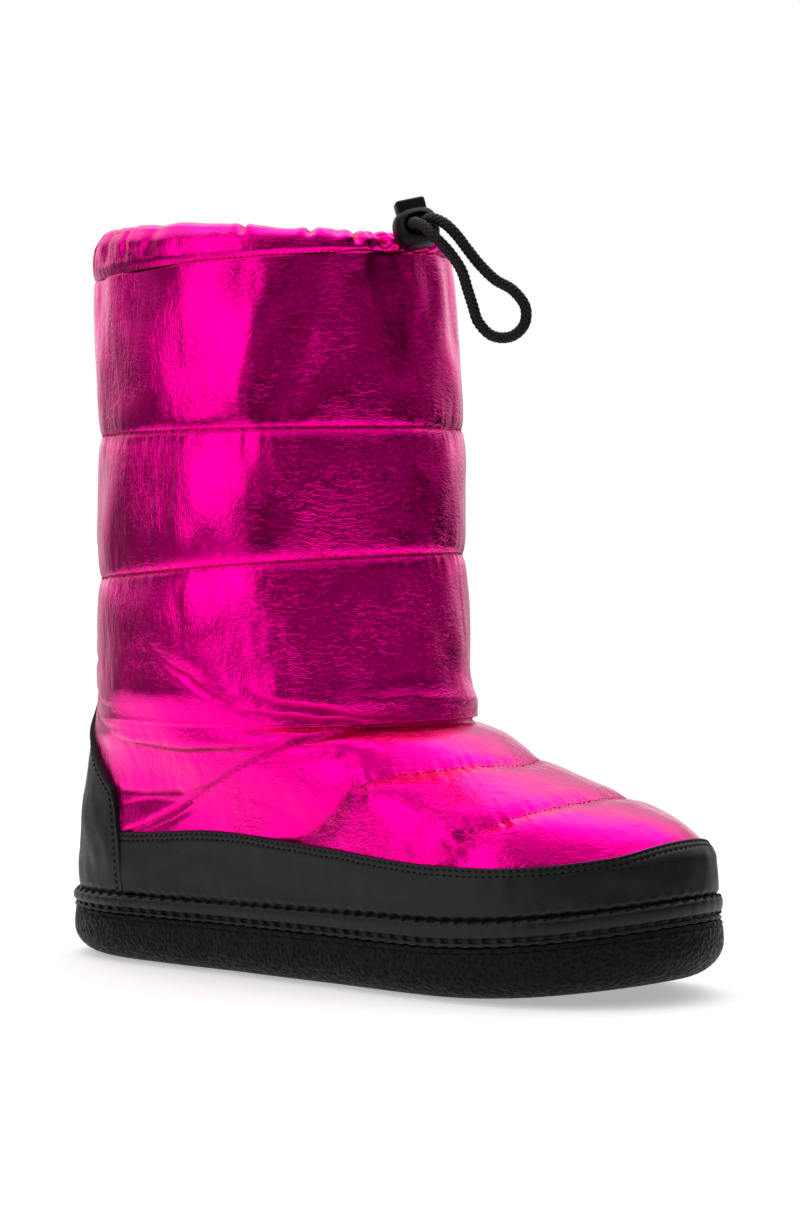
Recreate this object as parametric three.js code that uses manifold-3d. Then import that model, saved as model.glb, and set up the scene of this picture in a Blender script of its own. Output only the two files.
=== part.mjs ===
// A pull-on snow boot for the right foot: a padded, quilted shell on a thick moulded sole, with a smooth
// rand and heel counter round its foot, and a gathered collar drawn in by a cord and a push-button lock.
// X runs forward from heel to toe, Y towards the inner side of the foot, and Z up from the floor. The
// origin is on the floor, midway along the sole. Sizes are in millimetres and angles in radians.
import * as THREE from "three";
import { mergeVertices } from "three/addons/utils/BufferGeometryUtils.js";
import Module from "manifold-3d";

const wasm = await Module();
wasm.setup();

// Sole
const SOLE_LENGTH = 280;
const BALL_WIDTH = 108;
const SOLE_THICKNESS = 19;
const SOLE_EDGE_RADIUS = 14;
const SOLE_EDGE_RISE = 11;
const SOLE_BULGE = 0.8;
const TOE_SPRING = 9.5;
const SPRING_START = 0.34;
const TOE_SWING = 4;
const TREAD_DEPTH = 3;
const TREAD_GROOVE = 4;
const TREAD_PITCH = 14;
const TREAD_MARGIN = 8;
const TREAD_SKEW = 0.32;

// Foot and shaft
const WALL = 6;
const THROAT_HEIGHT = 94;
const SHAFT_RISE = 168;
const SHAFT_SETBACK = 17.6;
const SHAFT_LENGTH = 146.5;
const SHAFT_WIDTH = 121;
const QUILT_PUFF = 1.8;
const THROAT_ROLL = 4;
const INSOLE_THICKNESS = 4;

// Rand, counter and stitched strip over the sole's edge
const STRIP_HEEL_HEIGHT = 6;
const STRIP_TOE_HEIGHT = 9;
const STRIP_INSET = 0.6;
const RAND_THICKNESS = 2;
const RAND_HEIGHT = 52;
const COUNTER_THICKNESS = 2.5;
const COUNTER_HEIGHT = 104;
const COUNTER_SHOULDER = 66;
const COUNTER_COLUMNS = 7;
const COUNTER_LEAN = 0.06;

// Collar
const CASING_HEIGHT = 16;
const CASING_PUFF = 2.2;
const CASING_GATHER = 3.6;
const RIM_DIP = 5;

// Drawcord and its lock
const CORD_DIAMETER = 4;
const STRAND_GAP = 0.6;
const SOCKET_DEPTH = 3;
const LOCK_LENGTH = 15;
const LOCK_WIDTH = 16.5;
const LOCK_HEIGHT = 15;
const LOCK_TURN = 0.205;
const LOCK_STAND = 9.2;
const LOCK_YAW = 0.48;
const LOCK_PITCH = 0.2;
const LOCK_ROLL = 0.22;
const LOCK_DROP = 3.8;
const LOOP_TURN = 0.65;
const SLOT_RISE = 0.4;
const BUTTON_WIDTH = 11;
const BUTTON_DEPTH = 5.6;
const BUTTON_STANDS = 3.6;
const BUTTON_TRAVEL = 3;
const BUTTON_BAR = 1.3;
const BUTTON_CORNER = 1.2;

// Air between touching pieces, behind the rand and counter, and between pieces that slide
const GAP = 0.3;
const BACKING_GAP = 0.9;
const SLIDE_GAP = 0.3;

// How finely the round forms are cut up
const COLUMNS = 56;
const CORD_SIDES = 8;
const CORD_STEPS = 44;

const COUNTER_SPREAD = (COUNTER_COLUMNS * 2 * Math.PI) / COLUMNS;
const HALF_LENGTH = SOLE_LENGTH / 2;
const HALF_BALL = BALL_WIDTH / 2;
const SEAT = SOLE_THICKNESS + GAP;
const BOOT_HEIGHT = THROAT_HEIGHT + SHAFT_RISE + CASING_HEIGHT;

// The footprint: its half width over that of an oval of the ball's width, along the sole's length.
const FOOTPRINT = [
  { along: 0.0, outer: 1.44, inner: 1.44 },
  { along: 0.12, outer: 1.15, inner: 1.13 },
  { along: 0.22, outer: 0.98, inner: 0.95 },
  { along: 0.36, outer: 0.88, inner: 0.82 },
  { along: 0.5, outer: 0.9, inner: 0.83 },
  { along: 0.64, outer: 1.01, inner: 0.95 },
  { along: 0.76, outer: 1.16, inner: 1.08 },
  { along: 0.87, outer: 1.3, inner: 1.22 },
  { along: 1.0, outer: 1.38, inner: 1.38 },
];

// Sections of the foot. Height is a share of the way from the sole to the throat, back and front are
// shares of half the sole's length, width of half the ball's, and oval goes from footprint 0 to oval 1.
const FOOT_SECTIONS = [
  { height: 0.0, back: 0.966, front: 0.97, width: 0.936, oval: 0 },
  { height: 0.16, back: 0.968, front: 0.972, width: 0.94, oval: 0 },
  { height: 0.32, back: 0.965, front: 0.965, width: 0.945, oval: 0.02 },
  { height: 0.44, back: 0.96, front: 0.925, width: 0.945, oval: 0.08 },
  { height: 0.53, back: 0.955, front: 0.87, width: 0.945, oval: 0.2 },
  { height: 0.62, back: 0.95, front: 0.765, width: 0.95, oval: 0.36 },
  { height: 0.72, back: 0.945, front: 0.605, width: 0.96, oval: 0.58 },
  { height: 0.82, back: 0.932, front: 0.445, width: 0.985, oval: 0.78 },
  { height: 0.92, back: 0.914, front: 0.325, width: 1.04, oval: 0.92 },
];

// Sections of the shaft. Height is a share of its rise, back of its setback from the heel, and length
// and width are shares of its own.
const SHAFT_SECTIONS = [
  { height: 0.0, back: 0.83, length: 1.055, width: 0.93 },
  { height: 0.07, back: 0.98, length: 1.03, width: 0.975 },
  { height: 0.3, back: 1.0, length: 1.01, width: 1.0 },
  { height: 0.63, back: 1.06, length: 0.99, width: 1.0 },
  { height: 1.0, back: 0.86, length: 0.98, width: 0.98 },
];

// The shaft's quilting seams: height as a share of the shaft's rise, and how far each climbs to the front.
const QUILT_SEAMS = [
  { height: 0.04, climb: -0.08 },
  { height: 0.335, climb: 0.07 },
  { height: 0.637, climb: 0.016 },
  { height: 1.0, climb: 0.055 },
];

// The rand's upper edge, as a share of its height, along the sole's length.
const RAND_EDGE = [
  { along: 0.0, height: 0.94 },
  { along: 0.18, height: 0.97 },
  { along: 0.35, height: 1.03 },
  { along: 0.55, height: 0.98 },
  { along: 0.72, height: 0.92 },
  { along: 0.86, height: 0.9 },
  { along: 0.95, height: 0.92 },
  { along: 1.0, height: 0.99 },
];

// The counter's upper edge, as a share of its height, from the heel's middle out to its front edge.
const COUNTER_EDGE = [
  { share: 0.0, height: 1.0 },
  { share: 0.25, height: 0.995 },
  { share: 0.45, height: 0.97 },
  { share: 0.7, height: 0.83 },
  { share: 0.94, height: 0.68 },
  { share: 1.0, height: 0.635 },
];

// The cord's loop in front of its lock, from the outer strand down round the loop's end and back up to
// the inner strand: across and toward are level, in a frame turned about the lock, and up is above it.
const CORD_LOOP = [
  { across: 2.6, toward: 14.5, up: -0.1 },
  { across: 6.7, toward: 17.5, up: -4.3 },
  { across: 12.2, toward: 16.8, up: -10.1 },
  { across: 16.2, toward: 14.7, up: -16 },
  { across: 18.4, toward: 12.2, up: -22.4 },
  { across: 20.4, toward: 9.9, up: -28.4 },
  { across: 22.4, toward: 8.9, up: -34.1 },
  { across: 27.6, toward: 7.7, up: -39.1 },
  { across: 34.3, toward: 6.7, up: -39.3 },
  { across: 39, toward: 6.1, up: -35.1 },
  { across: 39.5, toward: 5.8, up: -28.7 },
  { across: 35, toward: 6.3, up: -22.6 },
  { across: 28.6, toward: 7.6, up: -18.9 },
  { across: 22.9, toward: 9.6, up: -13.6 },
  { across: 18.4, toward: 11.7, up: -8.2 },
  { across: 14.1, toward: 15.5, up: -3 },
  { across: 10.2, toward: 15.3, up: 0.7 },
  { across: 6, toward: 12, up: 2.8 },
];

// The value of one column of a table at a place, on a smooth curve that never overshoots its rows.
function read(table, by, column, at) {
  const last = table.length - 1;
  let row = table.findIndex((r) => r[by] > at) - 1;
  if (at <= table[0][by]) return table[0][column];
  if (row < 0) return table[last][column];
  row = Math.min(row, last - 1);
  const slope = (i) => (table[i + 1][column] - table[i][column]) / (table[i + 1][by] - table[i][by]);
  const tangent = (i) => {
    if (i === 0) return slope(0);
    if (i === last) return slope(last - 1);
    const [before, after] = [slope(i - 1), slope(i)];
    return before * after <= 0 ? 0 : (2 * before * after) / (before + after);
  };
  const width = table[row + 1][by] - table[row][by];
  const t = (at - table[row][by]) / width;
  return (
    table[row][column] * (1 + 2 * t) * (1 - t) ** 2 +
    tangent(row) * width * t * (1 - t) ** 2 +
    table[row + 1][column] * t * t * (3 - 2 * t) +
    tangent(row + 1) * width * t * t * (t - 1)
  );
}

// One list of sections from the sole to the collar's rim, in millimetres.
const SECTIONS = [
  ...FOOT_SECTIONS.map((s) => ({
    height: SOLE_THICKNESS + s.height * (THROAT_HEIGHT - SOLE_THICKNESS),
    back: -s.back * HALF_LENGTH,
    front: s.front * HALF_LENGTH,
    width: s.width * HALF_BALL,
    oval: s.oval,
  })),
  ...SHAFT_SECTIONS.map((s) => {
    const back = s.back * SHAFT_SETBACK - HALF_LENGTH;
    return {
      height: THROAT_HEIGHT + s.height * SHAFT_RISE,
      back,
      front: back + s.length * SHAFT_LENGTH,
      width: (s.width * SHAFT_WIDTH) / 2,
      oval: 1,
    };
  }),
];

const alongOf = (turn) => (1 - Math.cos(turn)) / 2;
const sideOf = (turn) => (Math.sin(turn) >= 0 ? "outer" : "inner");
const swing = (x) => TOE_SWING * Math.max(0, x / HALF_LENGTH) ** 2;

// How far the toe is sprung up from the floor, fading out from the sole to the throat.
function lift(x, height) {
  const springStart = SPRING_START * HALF_LENGTH;
  const forward = Math.max(0, (x - springStart) / (HALF_LENGTH - springStart));
  const up = Math.min(1, Math.max(0, (height - SOLE_THICKNESS) / (THROAT_HEIGHT - SOLE_THICKNESS)));
  return TOE_SPRING * forward ** 2 * (1 - up * up * (3 - 2 * up));
}

const sprung = (p) => p.setZ(p.z + lift(p.x, p.z));

// A point on the outline that a section's four sizes give. Turn goes round from the heel's middle, over
// the outer side, to the toe at half a turn, and back over the inner side.
function outlinePoint(turn, back, front, width, oval) {
  const along = alongOf(turn);
  const x = back + (front - back) * along;
  const fullness = read(FOOTPRINT, "along", sideOf(turn), along);
  const y = -Math.sin(turn) * width * (fullness + (1 - fullness) * oval);
  return new THREE.Vector2(x, y + swing(x));
}

// A point of the boot's smooth skin, before the toe is sprung up.
function skinPoint(turn, height) {
  const [back, front, width, oval] = ["back", "front", "width", "oval"].map((column) =>
    read(SECTIONS, "height", column, height),
  );
  const p = outlinePoint(turn, back, front, width, oval);
  return new THREE.Vector3(p.x, p.y, height);
}

function skinNormal(turn, height) {
  const [dTurn, dHeight] = [0.01, 0.5];
  const round = skinPoint(turn + dTurn, height).sub(skinPoint(turn - dTurn, height));
  const up = skinPoint(turn, height + dHeight).sub(skinPoint(turn, height - dHeight));
  return round.cross(up).normalize();
}

// A point of the skin moved outwards by an offset, with the toe sprung up.
function offsetPoint(turn, height, offset) {
  return sprung(skinPoint(turn, height).addScaledVector(skinNormal(turn, height), offset));
}

function meshOf(points, faces) {
  const geometry = new THREE.BufferGeometry().setFromPoints(points);
  geometry.setIndex(faces);
  geometry.computeVertexNormals();
  return geometry;
}

// A solid wrapped round the boot. The profile gives, for a turn, the points of a closed section: its
// outer face upwards and then its inner face downwards, as many on each.
function wrap(turns, profile, closed) {
  const sections = turns.map(profile);
  const size = sections[0].length;
  const faces = [];
  const at = (section, i) => (section % turns.length) * size + (i % size);
  for (let s = 0; s < turns.length - (closed ? 0 : 1); s += 1)
    for (let i = 0; i < size; i += 1) {
      faces.push(at(s, i), at(s + 1, i), at(s + 1, i + 1));
      faces.push(at(s, i), at(s + 1, i + 1), at(s, i + 1));
    }
  if (!closed)
    for (let i = 0; i < size / 2 - 1; i += 1) {
      const [a, b, c, d] = [i, i + 1, size - 2 - i, size - 1 - i];
      const end = turns.length - 1;
      faces.push(at(0, a), at(0, b), at(0, c), at(0, a), at(0, c), at(0, d));
      faces.push(at(end, a), at(end, c), at(end, b), at(end, a), at(end, d), at(end, c));
    }
  return meshOf(sections.flat(), faces);
}

// A solid of stacked closed outlines, from the lowest up, closed across the foot at both ends.
function stack(outlines) {
  const size = outlines[0].length;
  const faces = [];
  outlines.slice(1).forEach((_, k) => {
    for (let i = 0; i < size; i += 1) {
      const [a, b] = [k * size + i, k * size + ((i + 1) % size)];
      faces.push(a, b, b + size, a, b + size, a + size);
    }
  });
  const top = (outlines.length - 1) * size;
  for (let i = 0; i < size / 2; i += 1) {
    const [a, b, c, d] = [i, i + 1, (size - i - 1) % size, (size - i) % size];
    if (i > 0) faces.push(a, d, c, top + a, top + c, top + d);
    if (i < size / 2 - 1) faces.push(a, c, b, top + a, top + b, top + c);
  }
  return meshOf(outlines.flat(), faces);
}

const turnsBetween = (from, to, count) =>
  Array.from({ length: count + 1 }, (_, i) => from + ((to - from) * i) / count);
const FULL_TURN = turnsBetween(0, 2 * Math.PI, COLUMNS).slice(0, -1);

function solidOf(geometry) {
  const bare = geometry.clone();
  ["normal", "uv"].forEach((name) => bare.deleteAttribute(name));
  const merged = mergeVertices(bare, 1e-4);
  const made = new wasm.Mesh({
    numProp: 3,
    vertProperties: merged.attributes.position.array,
    triVerts: new Uint32Array(merged.index.array),
  });
  return new wasm.Manifold(made);
}

function geometryOf(solid) {
  const mesh = solid.getMesh();
  const geometry = new THREE.BufferGeometry();
  geometry.setAttribute("position", new THREE.BufferAttribute(mesh.vertProperties, 3));
  geometry.setIndex(new THREE.BufferAttribute(mesh.triVerts, 1));
  geometry.computeVertexNormals();
  return geometry;
}

const cut = (geometry, tools) =>
  geometryOf(tools.reduce((left, tool) => left.subtract(solidOf(tool)), solidOf(geometry)));

// The moulded sole: a rounded lower edge, a wall that bulges a little, and a top that the boot sits on.
function soleOutline(inset, height) {
  return FULL_TURN.map((turn) => {
    const at = (t) => outlinePoint(t, -HALF_LENGTH, HALF_LENGTH, HALF_BALL, 0);
    const step = 0.01;
    const tangent = at(turn + step).sub(at(turn - step));
    const inward = new THREE.Vector2(-tangent.y, tangent.x).normalize();
    const p = at(turn).addScaledVector(inward, inset);
    return sprung(new THREE.Vector3(p.x, p.y, height));
  });
}

// Zigzag grooves across the tread, kept clear of the sole's rounded edge.
function treadGrooves() {
  const grooves = [];
  const margin = SOLE_EDGE_RADIUS + TREAD_MARGIN;
  const reach = HALF_LENGTH - margin;
  const count = Math.floor((2 * reach) / TREAD_PITCH);
  for (let i = 0; i <= count; i += 1) {
    const x = (i - count / 2) * TREAD_PITCH;
    const turn = Math.acos(-x / HALF_LENGTH);
    for (const side of [turn, 2 * Math.PI - turn]) {
      const edge = outlinePoint(side, -HALF_LENGTH, HALF_LENGTH, HALF_BALL, 0).y;
      const length = Math.abs(edge) - margin;
      const skew = Math.sign(edge) * TREAD_SKEW;
      const groove = new THREE.BoxGeometry(TREAD_GROOVE, length + TREAD_GROOVE, 2 * TREAD_DEPTH);
      groove.translate(0, (Math.sign(edge) * length) / 2, 0);
      groove.rotateZ(skew);
      groove.translate(x, swing(x), lift(x, 0));
      grooves.push(groove);
    }
  }
  return grooves;
}

function outsole() {
  const edge = [0, 0.3, 0.62, 0.9].map((share) => {
    const angle = (share * Math.PI) / 2;
    const inset = SOLE_EDGE_RADIUS * (1 - Math.sin(angle));
    return soleOutline(inset, SOLE_EDGE_RISE * (1 - Math.cos(angle)));
  });
  const lip = 1.2;
  const wall = [
    soleOutline(0, SOLE_EDGE_RISE + lip),
    soleOutline(SOLE_BULGE, SOLE_THICKNESS - lip),
    soleOutline(SOLE_BULGE + lip, SOLE_THICKNESS),
  ];
  return cut(stack([...edge, ...wall]), treadGrooves());
}

const stripTop = (turn) =>
  SEAT + STRIP_HEEL_HEIGHT + (STRIP_TOE_HEIGHT - STRIP_HEEL_HEIGHT) * Math.min(1, 1.6 * alongOf(turn));

// The stitched strip that covers the joint between boot and sole, rounded over its upper edge.
function strip() {
  return wrap(
    FULL_TURN,
    (turn) => {
      const top = stripTop(turn);
      const sole = outlinePoint(turn, -HALF_LENGTH, HALF_LENGTH, HALF_BALL, 0);
      const face = (share, inset) => {
        const height = SEAT + (top - SEAT) * share;
        const skin = skinPoint(turn, height);
        const reach = Math.hypot(sole.x - skin.x, sole.y - skin.y) - SOLE_BULGE - STRIP_INSET;
        return offsetPoint(turn, height, reach - inset);
      };
      const back = (share) => offsetPoint(turn, SEAT + (top - SEAT) * share, GAP);
      return [face(0, 0.8), face(0.3, 0), face(0.7, 0), face(1, 1), back(1), back(0.7), back(0.3), back(0)];
    },
    true,
  );
}

const randTop = (turn) => RAND_HEIGHT * read(RAND_EDGE, "along", "height", alongOf(turn));
const awayFromHeel = (turn) => Math.abs(turn > Math.PI ? turn - 2 * Math.PI : turn) / COUNTER_SPREAD;
const counterTop = (turn) => COUNTER_HEIGHT * read(COUNTER_EDGE, "share", "height", awayFromHeel(turn));

// The counter's front edges, and the rand's ends that meet them, lean forward towards the sole.
function leaning(turn, height) {
  const share = awayFromHeel(turn);
  const weight = share < 1 ? share ** 2 : Math.max(0, 1 - (share - 1) / 0.7);
  const down = Math.max(0, (COUNTER_SHOULDER - height) / (COUNTER_SHOULDER - SEAT));
  const side = turn > 0 && turn < Math.PI ? 1 : -1;
  return turn + side * COUNTER_LEAN * down * weight;
}

// A flat-cut cover on the boot's skin, from the stitched strip up to an edge, with a softened rim.
function cover(turns, top, thickness, rows) {
  const rim = 0.6;
  return wrap(
    turns,
    (turn) => {
      const low = stripTop(turn) + GAP;
      const heights = turnsBetween(low, top(turn), rows);
      const at = (h, offset) => offsetPoint(leaning(turn, h), h, offset);
      const outer = heights.map((h, i) => at(h, i === rows ? thickness - rim : thickness));
      const inner = heights.map((h) => at(h, BACKING_GAP)).reverse();
      return [...outer, ...inner];
    },
    false,
  );
}

function rand() {
  const apart = (2 * GAP) / HALF_LENGTH;
  const start = COUNTER_SPREAD + apart;
  return cover(turnsBetween(start, 2 * Math.PI - start, 40), randTop, RAND_THICKNESS, 4);
}

function heelCounter() {
  const turns = turnsBetween(-COUNTER_SPREAD, COUNTER_SPREAD, 2 * COUNTER_COLUMNS);
  return cover(turns, counterTop, COUNTER_THICKNESS, 8);
}

const seamHeight = (seam, turn) =>
  THROAT_HEIGHT + SHAFT_RISE * (seam.height + seam.climb * (alongOf(turn) - 0.5));

const casingSeam = (turn) => seamHeight(QUILT_SEAMS[QUILT_SEAMS.length - 1], turn);

// How far each row of padding swells, as a share of its puff, at a share of the way between its seams.
const swell = (share) => 1 - Math.abs(2 * share - 1) ** 4;

// The ring heights of the shell, from the sole to the casing's seam, with the padding's swell at each.
function shellRings(footShares, quiltShares) {
  const footHeight = (share) => SEAT + share * (THROAT_HEIGHT - SEAT);
  const foot = footShares.map((share) => ({ height: () => footHeight(share), swell: 0 }));
  const footTop = footHeight(footShares[footShares.length - 1]);
  const ankle = { height: (turn) => (footTop + seamHeight(QUILT_SEAMS[0], turn)) / 2, swell: 0 };
  const quilt = QUILT_SEAMS.slice(1).flatMap((upper, i) =>
    quiltShares.map((share) => ({
      height: (turn) => {
        const low = seamHeight(QUILT_SEAMS[i], turn);
        return low + share * (seamHeight(upper, turn) - low);
      },
      swell: QUILT_PUFF * swell(share),
    })),
  );
  const seam = { height: (turn) => casingSeam(turn) - GAP, swell: 0 };
  return [...foot, ankle, ...quilt, seam];
}

// A soft roll of the shaft hangs over the throat: fullest at the front of the ankle and gone by the heel.
function throatRoll(turn, height) {
  const above = (height - THROAT_HEIGHT - THROAT_ROLL) / (2 * THROAT_ROLL);
  return THROAT_ROLL * alongOf(turn) ** 2 * Math.exp(-above * above);
}

const OUTER_FOOT_SHARES = [0, 0.13, 0.26, 0.37, 0.46, 0.53, 0.6, 0.67, 0.74, 0.81, 0.88, 0.95];
const OUTER_QUILT_SHARES = [0, 0.07, 0.2, 0.5, 0.8, 0.93];
const INNER_FOOT_SHARES = [0, 0.35, 0.52, 0.67, 0.8, 0.92];
const INNER_QUILT_SHARES = [0, 0.33, 0.67];

function upper() {
  const outerRings = shellRings(OUTER_FOOT_SHARES, OUTER_QUILT_SHARES);
  const innerRings = shellRings(INNER_FOOT_SHARES, INNER_QUILT_SHARES).reverse();
  return wrap(
    FULL_TURN,
    (turn) => [
      ...outerRings.map((ring) => {
        const height = ring.height(turn);
        const roll = height > THROAT_HEIGHT - 1 ? throatRoll(turn, height) : 0;
        return offsetPoint(turn, height, ring.swell + roll);
      }),
      ...innerRings.map((ring) => offsetPoint(turn, ring.height(turn), -WALL)),
    ],
    true,
  );
}

// The collar's casing: a tube of the shell's cloth, drawn in towards its rim. Rows give the height and
// the offset as shares of the casing's own sizes, up the outside and down the inside.
const CASING_PROFILE = [
  { height: 0.0, puff: 0, gather: 0, wall: 0 },
  { height: 0.25, puff: 0.9, gather: 0.1, wall: 0 },
  { height: 0.6, puff: 1, gather: 0.45, wall: 0 },
  { height: 0.9, puff: 0.5, gather: 0.9, wall: 0.1 },
  { height: 1.0, puff: 0, gather: 1, wall: 0.5 },
  { height: 0.88, puff: -0.4, gather: 1, wall: 0.95 },
  { height: 0.6, puff: -0.4, gather: 0.7, wall: 1 },
  { height: 0.0, puff: 0, gather: 0, wall: 1 },
];

function casingPoint(turn, row) {
  const rim = BOOT_HEIGHT - RIM_DIP * alongOf(turn) ** 3;
  const height = casingSeam(turn) + row.height * (rim - casingSeam(turn));
  return offsetPoint(turn, height, row.puff * CASING_PUFF - row.gather * CASING_GATHER - row.wall * WALL);
}

// The lock's own frame: out along its bore, to the inner side, and up. The lock rests against the front
// of the casing, with its bore turned to the outer side and raised, and the whole rolled about the bore.
const lockTurn = Math.PI - LOCK_TURN;
const lockSeat = casingPoint(lockTurn, { height: 0.7, puff: 1, gather: 0.5, wall: 0 });
const lockAway = skinNormal(lockTurn, BOOT_HEIGHT).setZ(0).normalize();
const lockPlace = lockSeat
  .clone()
  .addScaledVector(lockAway, LOCK_STAND)
  .setZ(BOOT_HEIGHT - LOCK_DROP);
const facing = Math.atan2(lockAway.y, lockAway.x) - LOCK_YAW;
const lockRolled = new THREE.Matrix4()
  .makeRotationZ(facing)
  .multiply(new THREE.Matrix4().makeRotationY(-LOCK_PITCH))
  .multiply(new THREE.Matrix4().makeRotationX(LOCK_ROLL))
  .setPosition(lockPlace);
const loopFrame = new THREE.Matrix4().makeRotationZ(LOOP_TURN).setPosition(lockPlace);

const strandOffset = (CORD_DIAMETER + STRAND_GAP) / 2;
const slotWidth = 2 * strandOffset + CORD_DIAMETER + 2 * GAP;
const slotHeight = CORD_DIAMETER + 2 * GAP;
const socketEnd = LOCK_STAND / Math.cos(LOCK_YAW) + SOCKET_DEPTH;

// One closed piece of cord, from a socket in the casing, through the lock, round the loop and back.
function cordCurve() {
  const strand = (side) =>
    [-socketEnd, -LOCK_LENGTH / 2, 0, LOCK_LENGTH / 2 + 1].map((out) =>
      new THREE.Vector3(out, side * strandOffset, SLOT_RISE).applyMatrix4(lockRolled),
    );
  const loop = CORD_LOOP.map((p) =>
    new THREE.Vector3(p.across, -p.toward, p.up).applyMatrix4(loopFrame),
  );
  const points = [...strand(-1), ...loop, ...strand(1).reverse()];
  return new THREE.CatmullRomCurve3(points, false, "centripetal");
}

function drawcord() {
  const section = new THREE.Shape().setFromPoints(
    turnsBetween(0, 2 * Math.PI, CORD_SIDES)
      .slice(0, -1)
      .map((a) => new THREE.Vector2(Math.cos(a), Math.sin(a)).multiplyScalar(CORD_DIAMETER / 2)),
  );
  return new THREE.ExtrudeGeometry(section, { steps: CORD_STEPS, extrudePath: cordCurve() });
}

// The opening in the casing's outer cloth that both strands come out of.
function cordMouth() {
  const mouth = new THREE.BoxGeometry(12, slotWidth, slotHeight);
  mouth.translate(6 - socketEnd - GAP, 0, SLOT_RISE);
  return mouth.applyMatrix4(lockRolled);
}

function collarCasing() {
  const tube = wrap(
    FULL_TURN,
    (turn) => CASING_PROFILE.map((row) => casingPoint(turn, row)),
    true,
  );
  return cut(tube, [cordMouth()]);
}

function insole() {
  const outline = (height) => FULL_TURN.map((turn) => offsetPoint(turn, height, -WALL - GAP));
  return stack([outline(SEAT), outline(SEAT + INSOLE_THICKNESS)]);
}

// The lock's moulded body: a full, rounded barrel with a slot for the two strands and a pocket above it.
function lockBody() {
  const fullness = 2.7;
  const half = [LOCK_LENGTH / 2, LOCK_WIDTH / 2, LOCK_HEIGHT / 2];
  const barrel = new THREE.SphereGeometry(1, 20, 12);
  barrel.rotateX(Math.PI / 2);
  const position = barrel.attributes.position;
  for (let i = 0; i < position.count; i += 1) {
    const p = new THREE.Vector3().fromBufferAttribute(position, i);
    const sum = p.toArray().reduce((total, v, k) => total + Math.abs(v / half[k]) ** fullness, 0);
    p.multiplyScalar(sum ** (-1 / fullness));
    position.setXYZ(i, ...p.toArray());
  }
  const slot = new THREE.BoxGeometry(2 * LOCK_LENGTH, slotWidth, slotHeight);
  slot.translate(0, 0, SLOT_RISE);
  const floor = buttonLow() - BUTTON_TRAVEL - SLIDE_GAP;
  const pocket = new THREE.BoxGeometry(
    BUTTON_DEPTH + 2 * SLIDE_GAP,
    BUTTON_WIDTH + 2 * SLIDE_GAP,
    LOCK_HEIGHT,
  );
  pocket.translate(0, 0, floor + LOCK_HEIGHT / 2);
  return cut(barrel, [slot, pocket]);
}

// The button's lower end: the bar under the cord, which holds it against the slot's roof.
function buttonLow() {
  return SLOT_RISE - slotHeight / 2 - BUTTON_BAR;
}

// The sliding button: a slab with a window that the cord passes through, tall enough for its travel.
function lockButton() {
  const low = buttonLow();
  const high = LOCK_HEIGHT / 2 + BUTTON_STANDS;
  const [w, r] = [BUTTON_WIDTH / 2, BUTTON_CORNER];
  const outline = new THREE.Shape();
  outline.moveTo(-w, low);
  outline.lineTo(w, low);
  outline.lineTo(w, high - r);
  outline.quadraticCurveTo(w, high, w - r, high);
  outline.lineTo(r - w, high);
  outline.quadraticCurveTo(-w, high, -w, high - r);
  const window = new THREE.Path();
  const [side, bottom, top] = [slotWidth / 2, low + BUTTON_BAR, SLOT_RISE + slotHeight / 2 + BUTTON_TRAVEL];
  window.moveTo(-side, bottom);
  window.lineTo(-side, top);
  window.lineTo(side, top);
  window.lineTo(side, bottom);
  outline.holes.push(window);
  const slab = new THREE.ExtrudeGeometry(outline, {
    depth: BUTTON_DEPTH,
    bevelEnabled: false,
    curveSegments: 3,
  });
  slab.translate(0, 0, -BUTTON_DEPTH / 2);
  slab.applyMatrix4(
    new THREE.Matrix4().makeBasis(
      new THREE.Vector3(0, 1, 0),
      new THREE.Vector3(0, 0, 1),
      new THREE.Vector3(1, 0, 0),
    ),
  );
  return slab;
}

const soleRubber = new THREE.MeshStandardMaterial({ color: 0x16161a, roughness: 0.85 });
const smoothCover = new THREE.MeshStandardMaterial({ color: 0x18191c, roughness: 0.5 });
const foilCloth = new THREE.MeshStandardMaterial({ color: 0xd6008f, roughness: 0.3, metalness: 0.85 });
const plush = new THREE.MeshStandardMaterial({ color: 0x2a2a2c, roughness: 0.95 });
const cordBraid = new THREE.MeshStandardMaterial({ color: 0x0c0c0d, roughness: 0.8 });
const lockPlastic = new THREE.MeshStandardMaterial({ color: 0x141619, roughness: 0.55 });

const boot = new THREE.Group();

function add(name, geometry, material, frame) {
  const mesh = new THREE.Mesh(geometry, material);
  mesh.name = name;
  if (frame) frame.decompose(mesh.position, mesh.quaternion, mesh.scale);
  boot.add(mesh);
}

add("outsole", outsole(), soleRubber);
add("stitched_strip", strip(), smoothCover);
add("rand", rand(), smoothCover);
add("heel_counter", heelCounter(), smoothCover);
add("upper", upper(), foilCloth);
add("collar_casing", collarCasing(), foilCloth);
add("insole", insole(), plush);
add("drawcord", drawcord(), cordBraid);
add("cord_lock_body", lockBody(), lockPlastic, lockRolled);
add("cord_lock_button", lockButton(), lockPlastic, lockRolled);

export default boot;
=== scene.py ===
import math

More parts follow.
